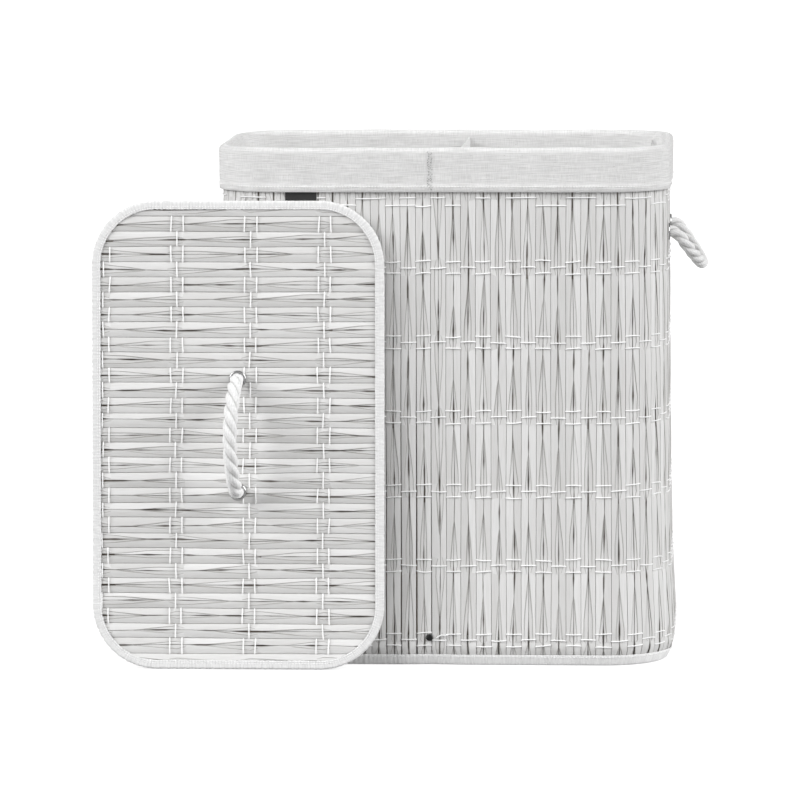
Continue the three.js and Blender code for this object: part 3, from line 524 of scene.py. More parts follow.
def lay_slats(name, plan, centre, pitch, place, material, crown, pinch=0.0, ties=None, depth=0.0):
    """Slats as thin strips with bevelled edges. Off the bundle's middle a slat lies lower, by the square of
    the distance, and it is drawn in near each tie, by a bell curve. Each takes its own part of the grain."""
    side = plan["side"][:, None]
    low = np.where(side > 0, plan["inner"], plan["outer"]) * pitch
    high = np.where(side > 0, plan["outer"], plan["inner"]) * pitch
    low_bevel = np.where(side > 0, inner_bevel, outer_bevel)
    high_bevel = inner_bevel + outer_bevel - low_bevel
    high = np.maximum(high, low + 4 * inner_bevel)
    room = high - low
    across = np.stack([low, low + low_bevel, low + room / 3, high - room / 3, high - high_bevel, high], -1)
    down = np.array([-slat_thickness, 0, 0, 0, 0, -slat_thickness])
    rise = down + (plan["lift"] - depth)[..., None] - crown * (2 * across / pitch) ** 2
    rise = rise + np.tan(plan["rolled"])[..., None] * (across - (low + high)[..., None] / 2)
    if ties is not None:
        from_tie = plan["along"][None, :, None] - ties[:, None, :]
        near_tie = np.exp(-(from_tie / tie_squeeze_reach) ** 2).max(-1)
        rise = rise - pinch * near_tie[..., None]
    along = plan["along"][None, :, None] + 0 * across
    points = place(centre[:, None, None] + across, along, rise)
    strip = np.arange(len(low))[:, None, None]
    sides = np.concatenate([across, across[..., :1]], -1) + grain_shift * strip
    uv = np.stack([sides, np.concatenate([along, along[..., :1]], -1)], -1)
    # Painted shade: the bevelled edges darken, partly as the slat's cut edge and partly for the shade of the
    # step, gap or slit beside them; an inner edge darkens less where its slit is shut.
    edge = cut_edge_and_shade_shares * (1 - slit_side * plan["shut"][..., None])
    edge = np.where(side[..., None] > 0, edge, edge[..., ::-1])
    shade = plan["shade"][:, None, None] + 0 * across
    return strips(name, points, material, uv, {"shade": shade, "edge": edge}, smooth_angle=30)


def stained_slats(name, dark, light, cut_edge_and_shade_colour):
    """Thin matt stain over wood: streaks along the grain, a tone for each slat, and dark edges: partly the
    cut edge's own colour, partly painted shade of the steps, gaps and slits beside them.
    """
    material, tree, surface = new_material(name, {"Roughness": 0.62, "Specular IOR Level": 0.35})
    streaks = noise(tree, on_surface(tree, 1300.0, 40.0), detail=3.0)
    patches = noise(tree, on_surface(tree, 260.0, 11.0), detail=2.0)
    tone = between(tree, mark(tree, "shade"), dark, light)
    faint = add_node(tree, "Math", {0: contrast(tree, streaks, 0.45, 0.85), 1: 0.2}, operation="MULTIPLY")
    tone = between(tree, faint.outputs[0], tone, grey(0.24, 0.06))
    worn = add_node(tree, "Math", {0: contrast(tree, patches, 0.5, 0.8), 1: 0.25}, operation="MULTIPLY")
    tone = between(tree, worn.outputs[0], tone, grey(0.52, 0.03))
    # Painted shade at the edges: the edge mark darkens the stain towards the edge colour.
    tone = between(tree, contrast(tree, mark(tree, "edge"), 0.3, 0.9), tone, cut_edge_and_shade_colour)
    tree.links.new(tone, surface.inputs["Base Color"])
    rough_up(tree, surface, streaks, 0.00008)
    return material


random = np.random.default_rng(7)
# The last colour of each finish is the dark of the cut edges together with the painted shade beside them.
slat_finish = stained_slats("stained_slats", grey(0.63, 0.006), grey(0.735, 0.003), grey(0.09, 0.12))
# Painted shade: the slats behind are brown, kept dark to stand for the shade inside the slits.
inner_slat_shade_finish = stained_slats(
    "inner_slats_painted_shade", (0.22, 0.17, 0.13, 1), (0.32, 0.26, 0.205, 1), (0.12, 0.09, 0.065, 1))
tie_levels = np.concatenate([[wall_bottom], bands, [wall_top]])
bundle_edges = random.normal(0, edge_spread_share, (bundle_count, len(tie_levels)))

# The bundles low down by the front fold stand a little apart.
drawn_apart = np.zeros((bundle_count, 1))
drawn_apart[fold_gap_bundles, 0] = fold_gap_shares
drawn_apart = drawn_apart * np.interp(tie_levels, fold_gap_heights, fold_gap_height_shares)
own_edges = np.stack([bundle_edges + drawn_apart - 0.5, np.roll(bundle_edges - drawn_apart, -1, 0) + 0.5], 1)

wall_parts = {"front": np.r_[77:90, 0:15], "right": np.r_[15:32], "back": np.r_[32:60], "left": np.r_[60:77]}
for part, bundles in wall_parts.items():
    towards = np.where(random.random(len(bundles)) < turned_bundles_share, 1, -1)
    plan = weave(own_edges[bundles], towards, tie_levels, random)
    bundle = bundles[plan["bundle"]]
    paired = bands + np.array([[-pair_offset], [pair_offset]])
    ties = np.where((bundle % 2 == 1)[:, None, None], paired, bands)
    piece = lay_slats(f"{part}_slats", plan, (bundle + 0.5) * bundle_pitch, bundle_pitch, wall_place,
                      slat_finish, wall_crown, wall_pinch, ties.reshape(len(bundle), -1))
    fasten(piece, "sleeve", "slats", "slat_sleeve")
# Brown slats behind the bundles, dark as painted shade in the slits.
plan = backs(bundle_count, np.linspace(wall_bottom, wall_top, 15))
piece = lay_slats("inner_slats_painted_shade", plan, (plan["bundle"] + 0.5) * bundle_pitch, bundle_pitch, wall_place,
                  inner_slat_shade_finish, inner_crown, depth=wall_inner_depth)
fasten(piece, "sleeve", "slats", "slat_sleeve")

# White thread ties the bundles: two loops round every second bundle and one loop round the bundle between,
# in each band. In the top band, under the cuff, most loops take two bundles together. One end hangs loose.
thread_radius, thread_slack, thread_end_share = 0.0007, 0.0004, 0.6
thread_corners, tie_points = 6, 11
surface_probe = 0.001
tie_reach_share = 0.51
tie_slant, tie_slant_spread, tie_spread = 0.0002, 0.0003, 0.0005
tie_face, tie_sag, tie_dive = 0.0005, 0.0004, 0.0012
top_row_low, top_row_high = 0.5335, 0.5425
loose_start, loose_run, loose_radius = 0.0055, 0.0155, 0.0008
loose_low, loose_rise, loose_wave = 0.0325, 0.0060, 0.0012
loose_face, loose_stand_off = 0.0016, 0.001


def threads(name, place, across, along, out, material, radius=thread_radius, corners=thread_corners):
    """Thread along lines[line, station] on a surface: round tubes, thinner at their two ends."""
    middle = place(across, along, out)
    outward = place(across, along, out + surface_probe) - middle
    forward = np.gradient(middle, axis=1)
    forward /= np.linalg.norm(forward, axis=-1, keepdims=True)
    side = np.cross(forward, outward)
    side /= np.linalg.norm(side, axis=-1, keepdims=True)
    up = np.cross(side, forward)
    angle = np.arange(corners) * 2 * np.pi / corners
    taper = np.ones(middle.shape[1])
    taper[[0, -1]] = thread_end_share
    size = radius * taper[:, None, None]
    points = (
        middle[:, :, None] + size * np.cos(angle)[:, None] * side[:, :, None]
        + size * np.sin(angle)[:, None] * up[:, :, None]
    )
    return strips(name, points, material)


def white_thread():
    """White polyester thread, a little uneven in tone."""
    material, tree, surface = new_material("white_thread", {"Roughness": 0.7, "Sheen Weight": 0.2})
    where = add_node(tree, "TexCoord").outputs["Object"]
    tone = between(tree, noise(tree, where, 900.0), grey(0.88), grey(0.97))
    tree.links.new(tone, surface.inputs["Base Color"])
    return material


thread_finish = white_thread()
rows = []
for tie, band in enumerate(bands[:-1]):
    for bundle in range(bundle_count):
        offsets = (-pair_offset, pair_offset) if bundle % 2 else (0.0,)
        rows += [(tie + 1, bundle, 1, band + offset) for offset in offsets]
top_tie = len(bands)
top_rows = {-2: top_row_high, -1: top_row_low, 0: top_row_high, 1: top_row_low, 3: top_row_high}
rows += [(top_tie, bundle % bundle_count, 1, height) for bundle, height in top_rows.items()]
rows += [(top_tie, bundle, 2, top_row_low if bundle % 4 == 3 else top_row_high)
         for bundle in range(5, bundle_count - 2, 2)]
tie, first_bundle, taken, height = (np.array(column)[:, None] for column in zip(*rows))
tie_run = np.sin(np.linspace(-np.pi / 2, np.pi / 2, tie_points))[None, :]
slant = random.normal(tie_slant, tie_slant_spread, first_bundle.shape)
jitter = random.normal(0, tie_spread, first_bundle.shape)
start = first_bundle + bundle_edges[first_bundle, tie]
end = first_bundle + taken + bundle_edges[(first_bundle + taken) % bundle_count, tie]
across = ((start + end) / 2 + tie_reach_share * (end - start) * tie_run) * bundle_pitch
sunk = tie_sag * np.abs(tie_run) ** 3 * (taken == 1) + tie_dive * np.abs(tie_run) ** 24
arch = random.normal(0, thread_slack, first_bundle.shape) * (1 - tie_run**2)
rise = height + jitter + slant * tie_run + arch
piece = threads("wall_ties", wall_place, across, rise, tie_face - sunk, thread_finish)
fasten(piece, "sleeve", "slats")
loose = np.linspace(0, 1, 14)[None, :]
loose_height = loose_low + loose_rise * loose + loose_wave * np.sin(5.5 * loose)
piece = threads("loose_thread", wall_place, loose_start + loose_run * loose, loose_height,
                loose_face + loose_stand_off * loose, thread_finish, radius=loose_radius)
fasten(piece, "sleeve", "slats")

# Inside the slats the sleeve has a lining of pale non-woven cloth, which the bundles are sewn to, and a
# floor of the same cloth. White tape is folded over the wall's top edge and under its bottom edge.
lining_outer, lining_inner = -0.0041, -0.0055
lining_step, foot_step, rim_step = 0.012, 0.003, 0.004
ring_step, foot_ring_step = 0.004, 0.0013
lining_ripple, foot_ripple, rim_ripple = 0.00012, 0.00022, 0.0001
foot_tape_height, foot_outer, foot_inner = 0.0125, 0.0015, -0.0065
foot_fold, foot_cloth, foot_sole, foot_lip = 0.0018, 0.0007, 0.0009, 0.0006
rim_middle, rim_height = -0.00265, 0.59385
rim_tape_radius, rim_tape_cloth, rim_tape_low = 0.00365, 0.0005, 0.5771
stitch_radius, stitch_dive, stitch_corners = 0.00035, 0.0007, 4
foot_stitch = {"height": foot_tape_height - 0.0022, "out": 0.0019, "length": 0.0022, "pitch": 0.0037}
rim_stitch = {"height": 0.5795, "out": 0.0013, "length": 0.0022, "pitch": 0.0035}
floor_cloth_inset, floor_cloth_low, floor_cloth_high = 0.0068, 0.0001, 0.0010


def divided(corners, step):
    """The points of a closed profile, with more put in along each side so that none is longer than a step."""
    points = []
    for start, end in zip(corners, corners[1:] + corners[:1]):
        start, end = np.array(start), np.array(end)
        pieces = max(1, math.ceil(np.linalg.norm(end - start) / step))
        points.append(start + (end - start) * np.arange(pieces)[:, None] / pieces)
    return np.concatenate(points)


def arc(middle, radius, start, end, steps=8):
    """Points of an arc, with its angles in degrees."""
    angle = np.radians(np.linspace(start, end, steps + 1))
    return [(middle[0] + radius * math.cos(a), middle[1] + radius * math.sin(a)) for a in angle]


def band_round(name, place, around, profile, material, relief=None, step=ring_step, smooth_angle=50):
    """A closed ring of cloth or tape: a closed profile of [out, height] carried round the distances. Relief
    is a function of distance and height that moves both faces out together."""
    out, height = profile[:, 0], profile[:, 1]
    distance = np.linspace(0, around, int(around / step), endpoint=False)[:, None]
    moved = out + (relief(distance, height[None, :]) if relief else 0 * distance)
    points = place(distance, height[None, :], moved)
    sides = np.linalg.norm(np.diff(np.vstack([profile, profile[:1]]), axis=0), axis=1)
    girth = np.concatenate([[0], np.cumsum(sides)])
    length = np.append(distance[:, 0], around)
    uv = np.stack(np.broadcast_arrays(length[:, None], girth[None, :]), -1)
    return strips(name, points[None], material, uv[None], closed=True, smooth_angle=smooth_angle)


def plate(name, place, half_across, half_along, radius, low, high, material, relief=None, crease=0.0):
    """A flat sheet with rounded corners between two heights, the width of each cross section following the
    corner's circle. A crease draws its two long edges in where the wall folds."""
    turn = np.linspace(np.pi / 2, 0, 9)
    straight = np.linspace(0, half_across - radius, 26)
    right = np.concatenate([straight[:-1], half_across - radius + radius * np.cos(turn)])
    x = np.concatenate([-right[:0:-1], right])
    past = np.clip(np.abs(x) - (half_across - radius), 0, radius)
    limit = half_along - radius + np.sqrt(np.maximum(radius**2 - past**2, 0))
    front = limit - crease * np.clip(1 - np.abs(x + fold_shift) / fold_reach, 0, 1)
    rear = limit - crease * np.clip(1 - np.abs(x - fold_shift) / fold_reach, 0, 1)
    share = np.linspace(0, 1, 31)[None, :]
    y = -front[:, None] * (1 - share) + rear[:, None] * share
    x = x[:, None] + 0 * y
    bump = relief(x, y) if relief else 0 * y
    points = np.concatenate([place(x, y, low + bump), place(x, y, high + bump)[:, ::-1]], 1)
    uv = np.stack([there_and_back(x), there_and_back(y)], -1)
    return strips(name, points[None], material, uv[None])


def there_and_back(across):
    """Surface coordinates of a flat sheet's section: over its one face, back under the other, and closed."""
    return np.concatenate([across, across[:, ::-1], across[:, :1]], 1)


def level_place(x, y, z):
    """A place by its own three coordinates, for a piece that lies level or stands upright by itself."""
    return np.stack(np.broadcast_arrays(x, y, z), -1)


def non_woven():
    """Pale non-woven cloth: pressed fibres lying every way, and rows of small dimples."""
    material, tree, surface = new_material("non_woven_cloth", {"Roughness": 0.9, "Sheen Weight": 0.1})
    fibres = noise(tree, on_surface(tree, 420.0, 260.0), detail=4.0)
    dimples = add_node(
        tree, "TexVoronoi", {"Vector": on_surface(tree, 420.0, 420.0), "Scale": 1.0, "Randomness": 0.1})
    tone = between(tree, contrast(tree, fibres, 0.3, 0.7), grey(0.66, 0.015), grey(0.76, 0.015))
    tree.links.new(tone, surface.inputs["Base Color"])
    rough_up(tree, surface, dimples.outputs["Distance"], 0.0003, 0.7)
    return material


def ribbed_tape(name, low, high):
    """White woven tape: ribs across it, and fine lint drawn out across it in two tones."""
    material, tree, surface = new_material(name, {"Roughness": 0.85, "Sheen Weight": 0.15})
    rib = add_node(tree, "TexWave", {"Vector": on_surface(tree, 210.0, 0.0), "Scale": 1.0}).outputs[1]
    lint = noise(tree, on_surface(tree, 480.0, 60.0), detail=3.0)
    height = add_node(tree, "Math", {0: rib, 1: lint}, operation="ADD").outputs[0]
    tree.links.new(between(tree, contrast(tree, lint, 0.38, 0.62), low, high), surface.inputs["Base Color"])
    rough_up(tree, surface, height, 0.0002, 0.5)
    return material


def gathers(seed, most, low_count, high_count, height_lean=9.0):
    """Soft waves along an edge: sines with whole numbers of turns in the way round the wall, with chosen
    phases and a lean that goes with the height, added together."""
    picks = np.random.default_rng(seed)
    turns = picks.integers(low_count, high_count, 9)
    starts = picks.uniform(0, 2 * np.pi, 9)
    leans = picks.normal(0, height_lean, 9)

    def relief(distance, height):
        phase = 2 * np.pi * turns * (distance / perimeter)[..., None] + starts + leans * height[..., None]
        return most / 3 * np.sin(phase).sum(-1)

    return relief


cloth_finish = non_woven()
tape_finish = ribbed_tape("white_tape", grey(0.69), grey(0.80))
# Painted light: the foot tape is the same white tape, painted brighter than the rim's to make up for the
# shade where it faces down towards the floor.
foot_tape_lit_finish = ribbed_tape("white_foot_tape_painted_light", grey(0.90), grey(1.0))
lining_profile = divided([
    (lining_inner, wall_bottom), (lining_inner, wall_top),
    (lining_outer, wall_top), (lining_outer, wall_bottom)], lining_step)
lining = band_round("sleeve_lining_cloth", wall_place, perimeter, lining_profile, cloth_finish,
                    gathers(3, lining_ripple, 40, 90), smooth_angle=60)
fasten(lining, "sleeve", "lining_cloth", "sleeve_lining")

foot_profile = divided(
    [(foot_outer - foot_lip, foot_tape_height)]
    + arc((foot_outer - foot_lip, foot_tape_height - foot_lip / 2), foot_lip, 90, 0, 2)
    + arc((foot_outer - foot_fold, foot_fold), foot_fold, 0, -90, 5)
    + arc((foot_inner + foot_fold, foot_fold), foot_fold, -90, -180, 5)
    + [(foot_inner, foot_tape_height), (foot_inner + foot_cloth, foot_tape_height),
       (foot_inner + foot_cloth, foot_sole), (foot_outer - foot_cloth, foot_sole)], foot_step)
foot = band_round("foot_tape", wall_place, perimeter, foot_profile, foot_tape_lit_finish,
                  gathers(5, foot_ripple, 150, 420), step=foot_ring_step)
fasten(foot, "sleeve", "binding_tape", "foot_binding")

rim_tape_inside = rim_tape_radius - rim_tape_cloth
rim_profile = divided(
    arc((rim_middle, rim_height), rim_tape_radius, 0, 180, 8)
    + [(rim_middle - rim_tape_radius, rim_tape_low), (rim_middle - rim_tape_inside, rim_tape_low)]
    + arc((rim_middle, rim_height), rim_tape_inside, 180, 0, 8)
    + [(rim_middle + rim_tape_inside, rim_tape_low), (rim_middle + rim_tape_radius, rim_tape_low)], rim_step)
rim = band_round("rim_tape", wall_place, perimeter, rim_profile, tape_finish,
                 gathers(6, rim_ripple, 100, 300))
fasten(rim, "sleeve", "binding_tape", "rim_binding")

stitch_run = np.linspace(-1, 1, 5)[None, :]


def stitch_row(name, place, around, height, out, length, pitch):
    """A row of short stitches: each rises from the cloth, runs along it and dives in again, by the fourth
    power of the way from its middle."""
    count = int(around / pitch)
    middle = (np.arange(count)[:, None] + 0.5) * around / count
    rise = out - stitch_dive * stitch_run**4
    return threads(name, place, middle + length / 2 * stitch_run, height + 0 * stitch_run + 0 * middle,
                   rise + 0 * middle, thread_finish, stitch_radius, stitch_corners)


piece = stitch_row("foot_stitches", wall_place, perimeter, **foot_stitch)
fasten(piece, "sleeve", "binding_tape")
piece = stitch_row("rim_stitches", wall_place, perimeter, **rim_stitch)
fasten(piece, "sleeve", "binding_tape")

floor_out = float(wall_push(0)) - floor_cloth_inset
floor_cloth = plate("floor_cloth_sheet", level_place, hamper_width / 2 + floor_out,
                    hamper_depth / 2 + floor_out, corner_radius + floor_out,
                    floor_cloth_low, floor_cloth_high, cloth_finish, crease=fold_depth)
fasten(floor_cloth, "sleeve", "lining_cloth", "floor_cloth")

# A stiff base of two brown hardboard leaves lies over a softwood batten, joined by a cloth tape along the
# fold. Black rivets hold the batten at its two ends, and the front one shows low in the wall. The boards, the
# batten and the steel hoop in the rim keep the shape of their solids.
hinge_tape_turn = -math.atan(2 * fold_shift / hamper_depth)
hinge_tape_half_long, hinge_tape_half_wide = 0.1598, 0.022
hinge_tape_low, hinge_tape_high = 0.0379, 0.0386
hinge_tape_dip, hinge_tape_dip_reach = 0.0006, 0.004
rivet_height, rivet_shift = 0.0328, 0.0155
rivet_shank, rivet_length = 0.0020, 0.0218
rivet_head, rivet_rim, rivet_dome = 0.0041, 0.0004, 0.0018
least_radius = 0.0001


def hardboard():
    """Pressed brown fibre: a smooth face with short darker fibres."""
    material, tree, surface = new_material("hardboard", {"Roughness": 0.75})
    where = add_node(tree, "TexCoord").outputs["Object"]
    fibres = noise(tree, where, 700.0, 4.0)
    tone = between(tree, contrast(tree, fibres, 0.35, 0.65), (0.17, 0.105, 0.058, 1), (0.27, 0.17, 0.10, 1))
    tree.links.new(tone, surface.inputs["Base Color"])
    rough_up(tree, surface, fibres, 0.0002)
    return material


def softwood():
    """Planed pale wood with grain along the batten."""
    material, tree, surface = new_material("softwood", {"Roughness": 0.6})
    where = add_node(tree, "TexCoord").outputs["Object"]
    stretched = add_node(tree, "Mapping", {"Vector": where, "Scale": (260.0, 9.0, 260.0)}).outputs[0]
    grain = noise(tree, stretched, 1.0, 4.0)
    tone = between(tree, contrast(tree, grain, 0.3, 0.7), (0.40, 0.25, 0.12, 1), (0.60, 0.43, 0.25, 1))
    tree.links.new(tone, surface.inputs["Base Color"])
    rough_up(tree, surface, grain, 0.00015)
    return material


def drawn_steel():
    """Bright drawn wire, rubbed a little duller in places."""
    material, tree, surface = new_material("drawn_steel", {"Metallic": 1.0, "Base Color": grey(0.56)})
    where = add_node(tree, "TexCoord").outputs["Object"]
    rub = add_node(tree, "MapRange", {0: noise(tree, where, 300.0, 3.0), 3: 0.28, 4: 0.5}).outputs[0]
    tree.links.new(rub, surface.inputs["Roughness"])
    return material


def black_moulding():
    """Black moulded plastic with a fine matt grain."""
    material, tree, surface = new_material("black_moulding", {"Base Color": grey(0.006), "IOR": 1.42})
    where = add_node(tree, "TexCoord").outputs["Object"]
    grain = noise(tree, where, 1500.0, 3.0)
    matt = add_node(tree, "MapRange", {0: grain, 3: 0.3, 4: 0.5}).outputs[0]
    tree.links.new(matt, surface.inputs["Roughness"])
    rough_up(tree, surface, grain, 0.00004)
    return material


def dress(finish, *nodes):
    """These solids keep their own shape and get a finish."""
    for node in nodes:
        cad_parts[node].material_slots[0].material = finish


board_finish = hardboard()
steel_finish = drawn_steel()
black_finish = black_moulding()
dress(board_finish, "base_board_right", "base_board_left", "lid_board")
dress(softwood(), "base_batten")
dress(steel_finish, "rim_wire_right", "rim_wire_left", "rim_joint_front", "rim_joint_rear")


def hinge_tape_place(across, along, height):
    """A place on the hinge tape, which lies turned on the boards from one fold to the other."""
    cos, sin = math.cos(hinge_tape_turn), math.sin(hinge_tape_turn)
    return level_place(across * cos - along * sin, across * sin + along * cos, height)


tape_run = np.linspace(-hinge_tape_half_long, hinge_tape_half_long, 60)[:, None]
tape_side = np.linspace(-hinge_tape_half_wide, hinge_tape_half_wide, 12)[None, :]
sag = -hinge_tape_dip * np.exp(-((tape_side / hinge_tape_dip_reach) ** 2)) + 0 * tape_run
top = hinge_tape_place(tape_side, tape_run, hinge_tape_high + sag)
bottom = hinge_tape_place(tape_side, tape_run, hinge_tape_low + sag)
uv = np.stack(np.broadcast_arrays(there_and_back(tape_side), tape_run), -1)
piece = strips("hinge_tape", np.concatenate([top, bottom[:, ::-1]], 1)[None], cloth_finish, uv[None])
fasten(piece, "sleeve", "lining_cloth", "board_hinge_tape")


def turned(name, profile, seat, axis, material, sides=48):
    """A piece turned on a lathe: a closed profile of [radius, rise] swept round an axis from its seat."""
    axis = np.array(axis, float)
    side = np.cross(axis, [0.0, 0.6, 0.8])
    side /= np.linalg.norm(side)
    other = np.cross(axis, side)
    angle = np.linspace(0, 2 * np.pi, sides, endpoint=False)[:, None, None]
    radius, rise = np.array(profile)[None, :, 0, None], np.array(profile)[None, :, 1, None]
    points = np.array(seat) + radius * (np.cos(angle) * side + np.sin(angle) * other) + rise * axis
    return strips(name, points[None], material, closed=True, smooth_angle=40)


rivet_seat = hamper_depth / 2 + float(wall_push(rivet_height)) + slat_face - float(wall_crease(rivet_height))
dome = [(rivet_head * math.cos(a), rivet_rim + rivet_dome * math.sin(a)) for a in np.linspace(0, 1.52, 9)]
rivet_profile = [
    (least_radius, -rivet_length), (rivet_shank, -rivet_length), (rivet_shank, 0.0), (rivet_head, 0.0),
    *dome, (least_radius, rivet_rim + rivet_dome)]
for end, sign in (("front", -1), ("rear", 1)):
    seat = (sign * rivet_shift, sign * rivet_seat, rivet_height)
    piece = turned(f"rivet_{end}", rivet_profile, seat, (0, sign, 0), black_finish)
    fasten(piece, "sleeve", "black_plastic", f"base_rivet_{end}")

# Each handle goes through two bright nickel eyelets: a domed flange outside, a barrel through the slats and
# the cloth, and its end curled over a washer inside. The rope is knotted on itself behind the washer.
wall_stack, lid_stack = 0.0061, 0.0086
barrel_bore, barrel_outside, barrel_past_stack = 0.0075, 0.0082, 0.0016
flange_middle, flange_radius, flange_rise, flange_fullness = 0.00875, 0.00125, 0.0002, 1.36
flange_edge, flange_under = 0.0100, 0.0001
washer_bore, washer_outside, washer_thickness, washer_chamfer = 0.0083, 0.0110, 0.0010, 0.0003
knot_radius, knot_coil, knot_lay = 0.0062, 0.0071, 0.040
knot_turns, knot_start, knot_gap, knot_rise = 1.45, 0.7, 0.0019, 0.0052


def nickel():
    """Bright nickel plate with fine handling marks."""
    material, tree, surface = new_material("nickel", {"Metallic": 1.0, "Base Color": grey(0.50)})
    where = add_node(tree, "TexCoord").outputs["Object"]
    rub = add_node(tree, "MapRange", {0: noise(tree, where, 500.0, 3.0), 3: 0.12, 4: 0.3}).outputs[0]
    tree.links.new(rub, surface.inputs["Roughness"])
    return material


nickel_finish = nickel()


def eyelet_and_knot(label, seat, out, stack, body, place):
    """The eyelet's and the washer's profiles turned round the hole's axis, and the knot behind them: rope
    wound one turn and a half round its own end."""
    barrel_end = -(stack + barrel_past_stack)
    flange = [(radius, flange_rise + flange_fullness * (rise - flange_rise))
              for radius, rise in arc((flange_middle, flange_rise), flange_radius, 0, 180, 9)]
    profile = [(barrel_bore, barrel_end), (barrel_outside, barrel_end),
               (barrel_outside, -flange_under), (flange_edge, -flange_under)] + flange
    piece = turned(f"{label}_eyelet_{place}_ring", profile, seat, out, nickel_finish)
    fasten(piece, body, "eyelet", f"{label}_eyelet_{place}")
    low, high = -(stack + washer_thickness), -stack
    curl = [(washer_bore, low), (washer_outside - washer_chamfer, low),
            (washer_outside, low + washer_chamfer), (washer_outside, high), (washer_bore, high)]
    piece = turned(f"{label}_washer_{place}_ring", curl, seat, out, nickel_finish)
    fasten(piece, body, "eyelet", f"{label}_washer_{place}")
    side = np.cross(out, [0.0, 0.6, 0.8])
    side /= np.linalg.norm(side)
    other = np.cross(out, side)
    wind = np.linspace(0, 1, 80)[:, None]
    turn = 2 * np.pi * knot_turns * wind + knot_start
    depth = stack + knot_gap + knot_radius + knot_rise * wind
    coil = seat - depth * out + knot_coil * (np.cos(turn) * side + np.sin(turn) * other)
    piece = laid_rope(f"{label}_knot_{place}_coil", coil, out, rope_finish, radius=knot_radius, lay=knot_lay)
    fasten(piece, body, "rope", f"{label}_knot_{place}")


for side_name, sign in (("right", 1), ("left", -1)):
    for end, far in (("front", -1), ("rear", 1)):
        seat = np.array([sign * wall_face, sign * far * handle_grip / 2, handle_height])
        eyelet_and_knot(side_name, seat, np.array([sign, 0.0, 0.0]), wall_stack, "sleeve", end)
for end, far in (("lower", -1), ("upper", 1)):
    seat = lid_place(far * handle_grip / 2, 0.0, lid_face)
    eyelet_and_knot("lid", seat, lid_out, lid_stack, "lid", end)

# The liner is a bag of pale linen with a cloth divider between its two bins. Its cuff is sewn to the bag,
# turned over the rim and hemmed; the two halves of the cuff meet in zig-zag seams at the folds.
cuff_bottom, hem_top, cuff_inside_low = 0.5490, 0.5565, 0.5750
cuff_radius, cuff_cloth, cuff_step, cuff_ring_step = 0.00615, 0.0020, 0.004, 0.0025
cuff_face, hem_face, hem_round = 0.0037, 0.0042, 0.0003
inside_calm_share, cuff_turn_reach = 0.25, 0.004
pucker_least_share, pucker_reach = 0.1, 0.05
rim_wave_from, rim_wave_reach = 0.56, 0.03
cuff_lean_heights, cuff_leans = [cuff_bottom, hem_top, rim_height], [-0.0009, -0.0003, 0.0006]
seam_ridge, seam_ridge_reach = 0.0005, 0.0028
tuck_place, tuck_depth, tuck_reach, tuck_slant = 0.523, 0.0065, 0.0035, 0.5
tuck_top, tuck_fade = 0.5985, 0.008
cuff_wave, cuff_pucker, rim_wave = 0.0004, 0.00022, 0.0003
hem_stitch = {"height": hem_top - 0.0012, "out": 0.0046, "length": 0.0024, "pitch": 0.0034}
seam_sides, seam_zig, seam_zigs, seam_radius = [-0.0021, 0.0013], 0.0015, 15, 0.00025
hem_seam_out, cuff_seam_out, seam_above_hem = 0.0044, 0.0038, 0.002
bag_bottom, bag_shoulder, bag_top = 0.0389, 0.5147, 0.5747
bag_cloth, bag_step, bag_fold, bag_crease = 0.0016, 0.009, 0.0021, 0.0006
bag_bead, bag_bead_rise, bag_bead_end = 0.0008, 0.0016, 0.0042
floor_hold_reach, floor_hold_share = 0.06, 0.08
cuff_hold_reach, cuff_hold_share = 0.05, 0.05
bag_end_inset, bag_end_widening = 0.03077, 0.02397
bag_side_inset, bag_side_widening = 0.0128, 0.0060
bag_floor_inset, floor_wrinkle = 0.0018, 0.00035
divider_place, divider_turn = 0.0070, 0.060
divider_bottom, divider_low, divider_sag = 0.0408, 0.5915, 0.0075
divider_heights = [divider_bottom, bag_shoulder, bag_top, 0.578, 0.592]
divider_halves = [0.1471, 0.1471, 0.1530, 0.1524, 0.1524]
divider_cloth, divider_hem, divider_lip = 0.0010, 0.0004, 0.0015
divider_hem_height, divider_hem_edge = 0.011, 0.001
divider_bulge, divider_ripple = 0.0030, 0.0018
divider_stitch = {
    "drop": 0.0095, "length": 0.0024, "pitch": 0.0034, "half": 0.148, "out": 0.0017, "dive": 0.0006}


def linen(name, low, high):
    """Plain weave of uneven yarns in pale warm grey: slubs along and across it, and a few darker flecks."""
    material, tree, surface = new_material(name, {"Roughness": 0.92, "Sheen Weight": 0.2})
    weft = noise(tree, on_surface(tree, 40.0, 900.0), detail=2.0)
    warp = noise(tree, on_surface(tree, 1300.0, 90.0), detail=2.0)
    slubs = add_node(tree, "Math", {0: weft, 1: 1.6, 2: warp}, operation="MULTIPLY_ADD").outputs[0]
    tone = between(tree, contrast(tree, slubs, 0.95, 1.65), low, high)
    fleck = noise(tree, on_surface(tree, 240.0, 900.0), detail=1.0)
    tone = between(tree, contrast(tree, fleck, 0.72, 0.8), tone, grey(0.42, 0.03))
    tree.links.new(tone, surface.inputs["Base Color"])
    over = add_node(tree, "TexWave", {"Vector": on_surface(tree, 300.0, 0.0), "Scale": 1.0}).outputs[1]
    under = add_node(tree, "TexWave", {
        "Vector": on_surface(tree, 0.0, 300.0), "Scale": 1.0}, bands_direction="Y").outputs[1]
    yarns = add_node(tree, "Math", {0: over, 1: under}, operation="MAXIMUM").outputs[0]
    height = add_node(tree, "Math", {0: yarns, 1: slubs}, operation="ADD").outputs[0]
    rough_up(tree, surface, height, 0.00025, 0.8)
    return material


linen_finish = linen("pale_linen", grey(0.61, 0.004), grey(0.82, 0.002))
cuff_waves = gathers(11, cuff_wave, 5, 26, 14.0)
cuff_puckers = gathers(12, cuff_pucker, 60, 160, 30.0)
rim_waves = gathers(13, rim_wave, 4, 15, 0.0)


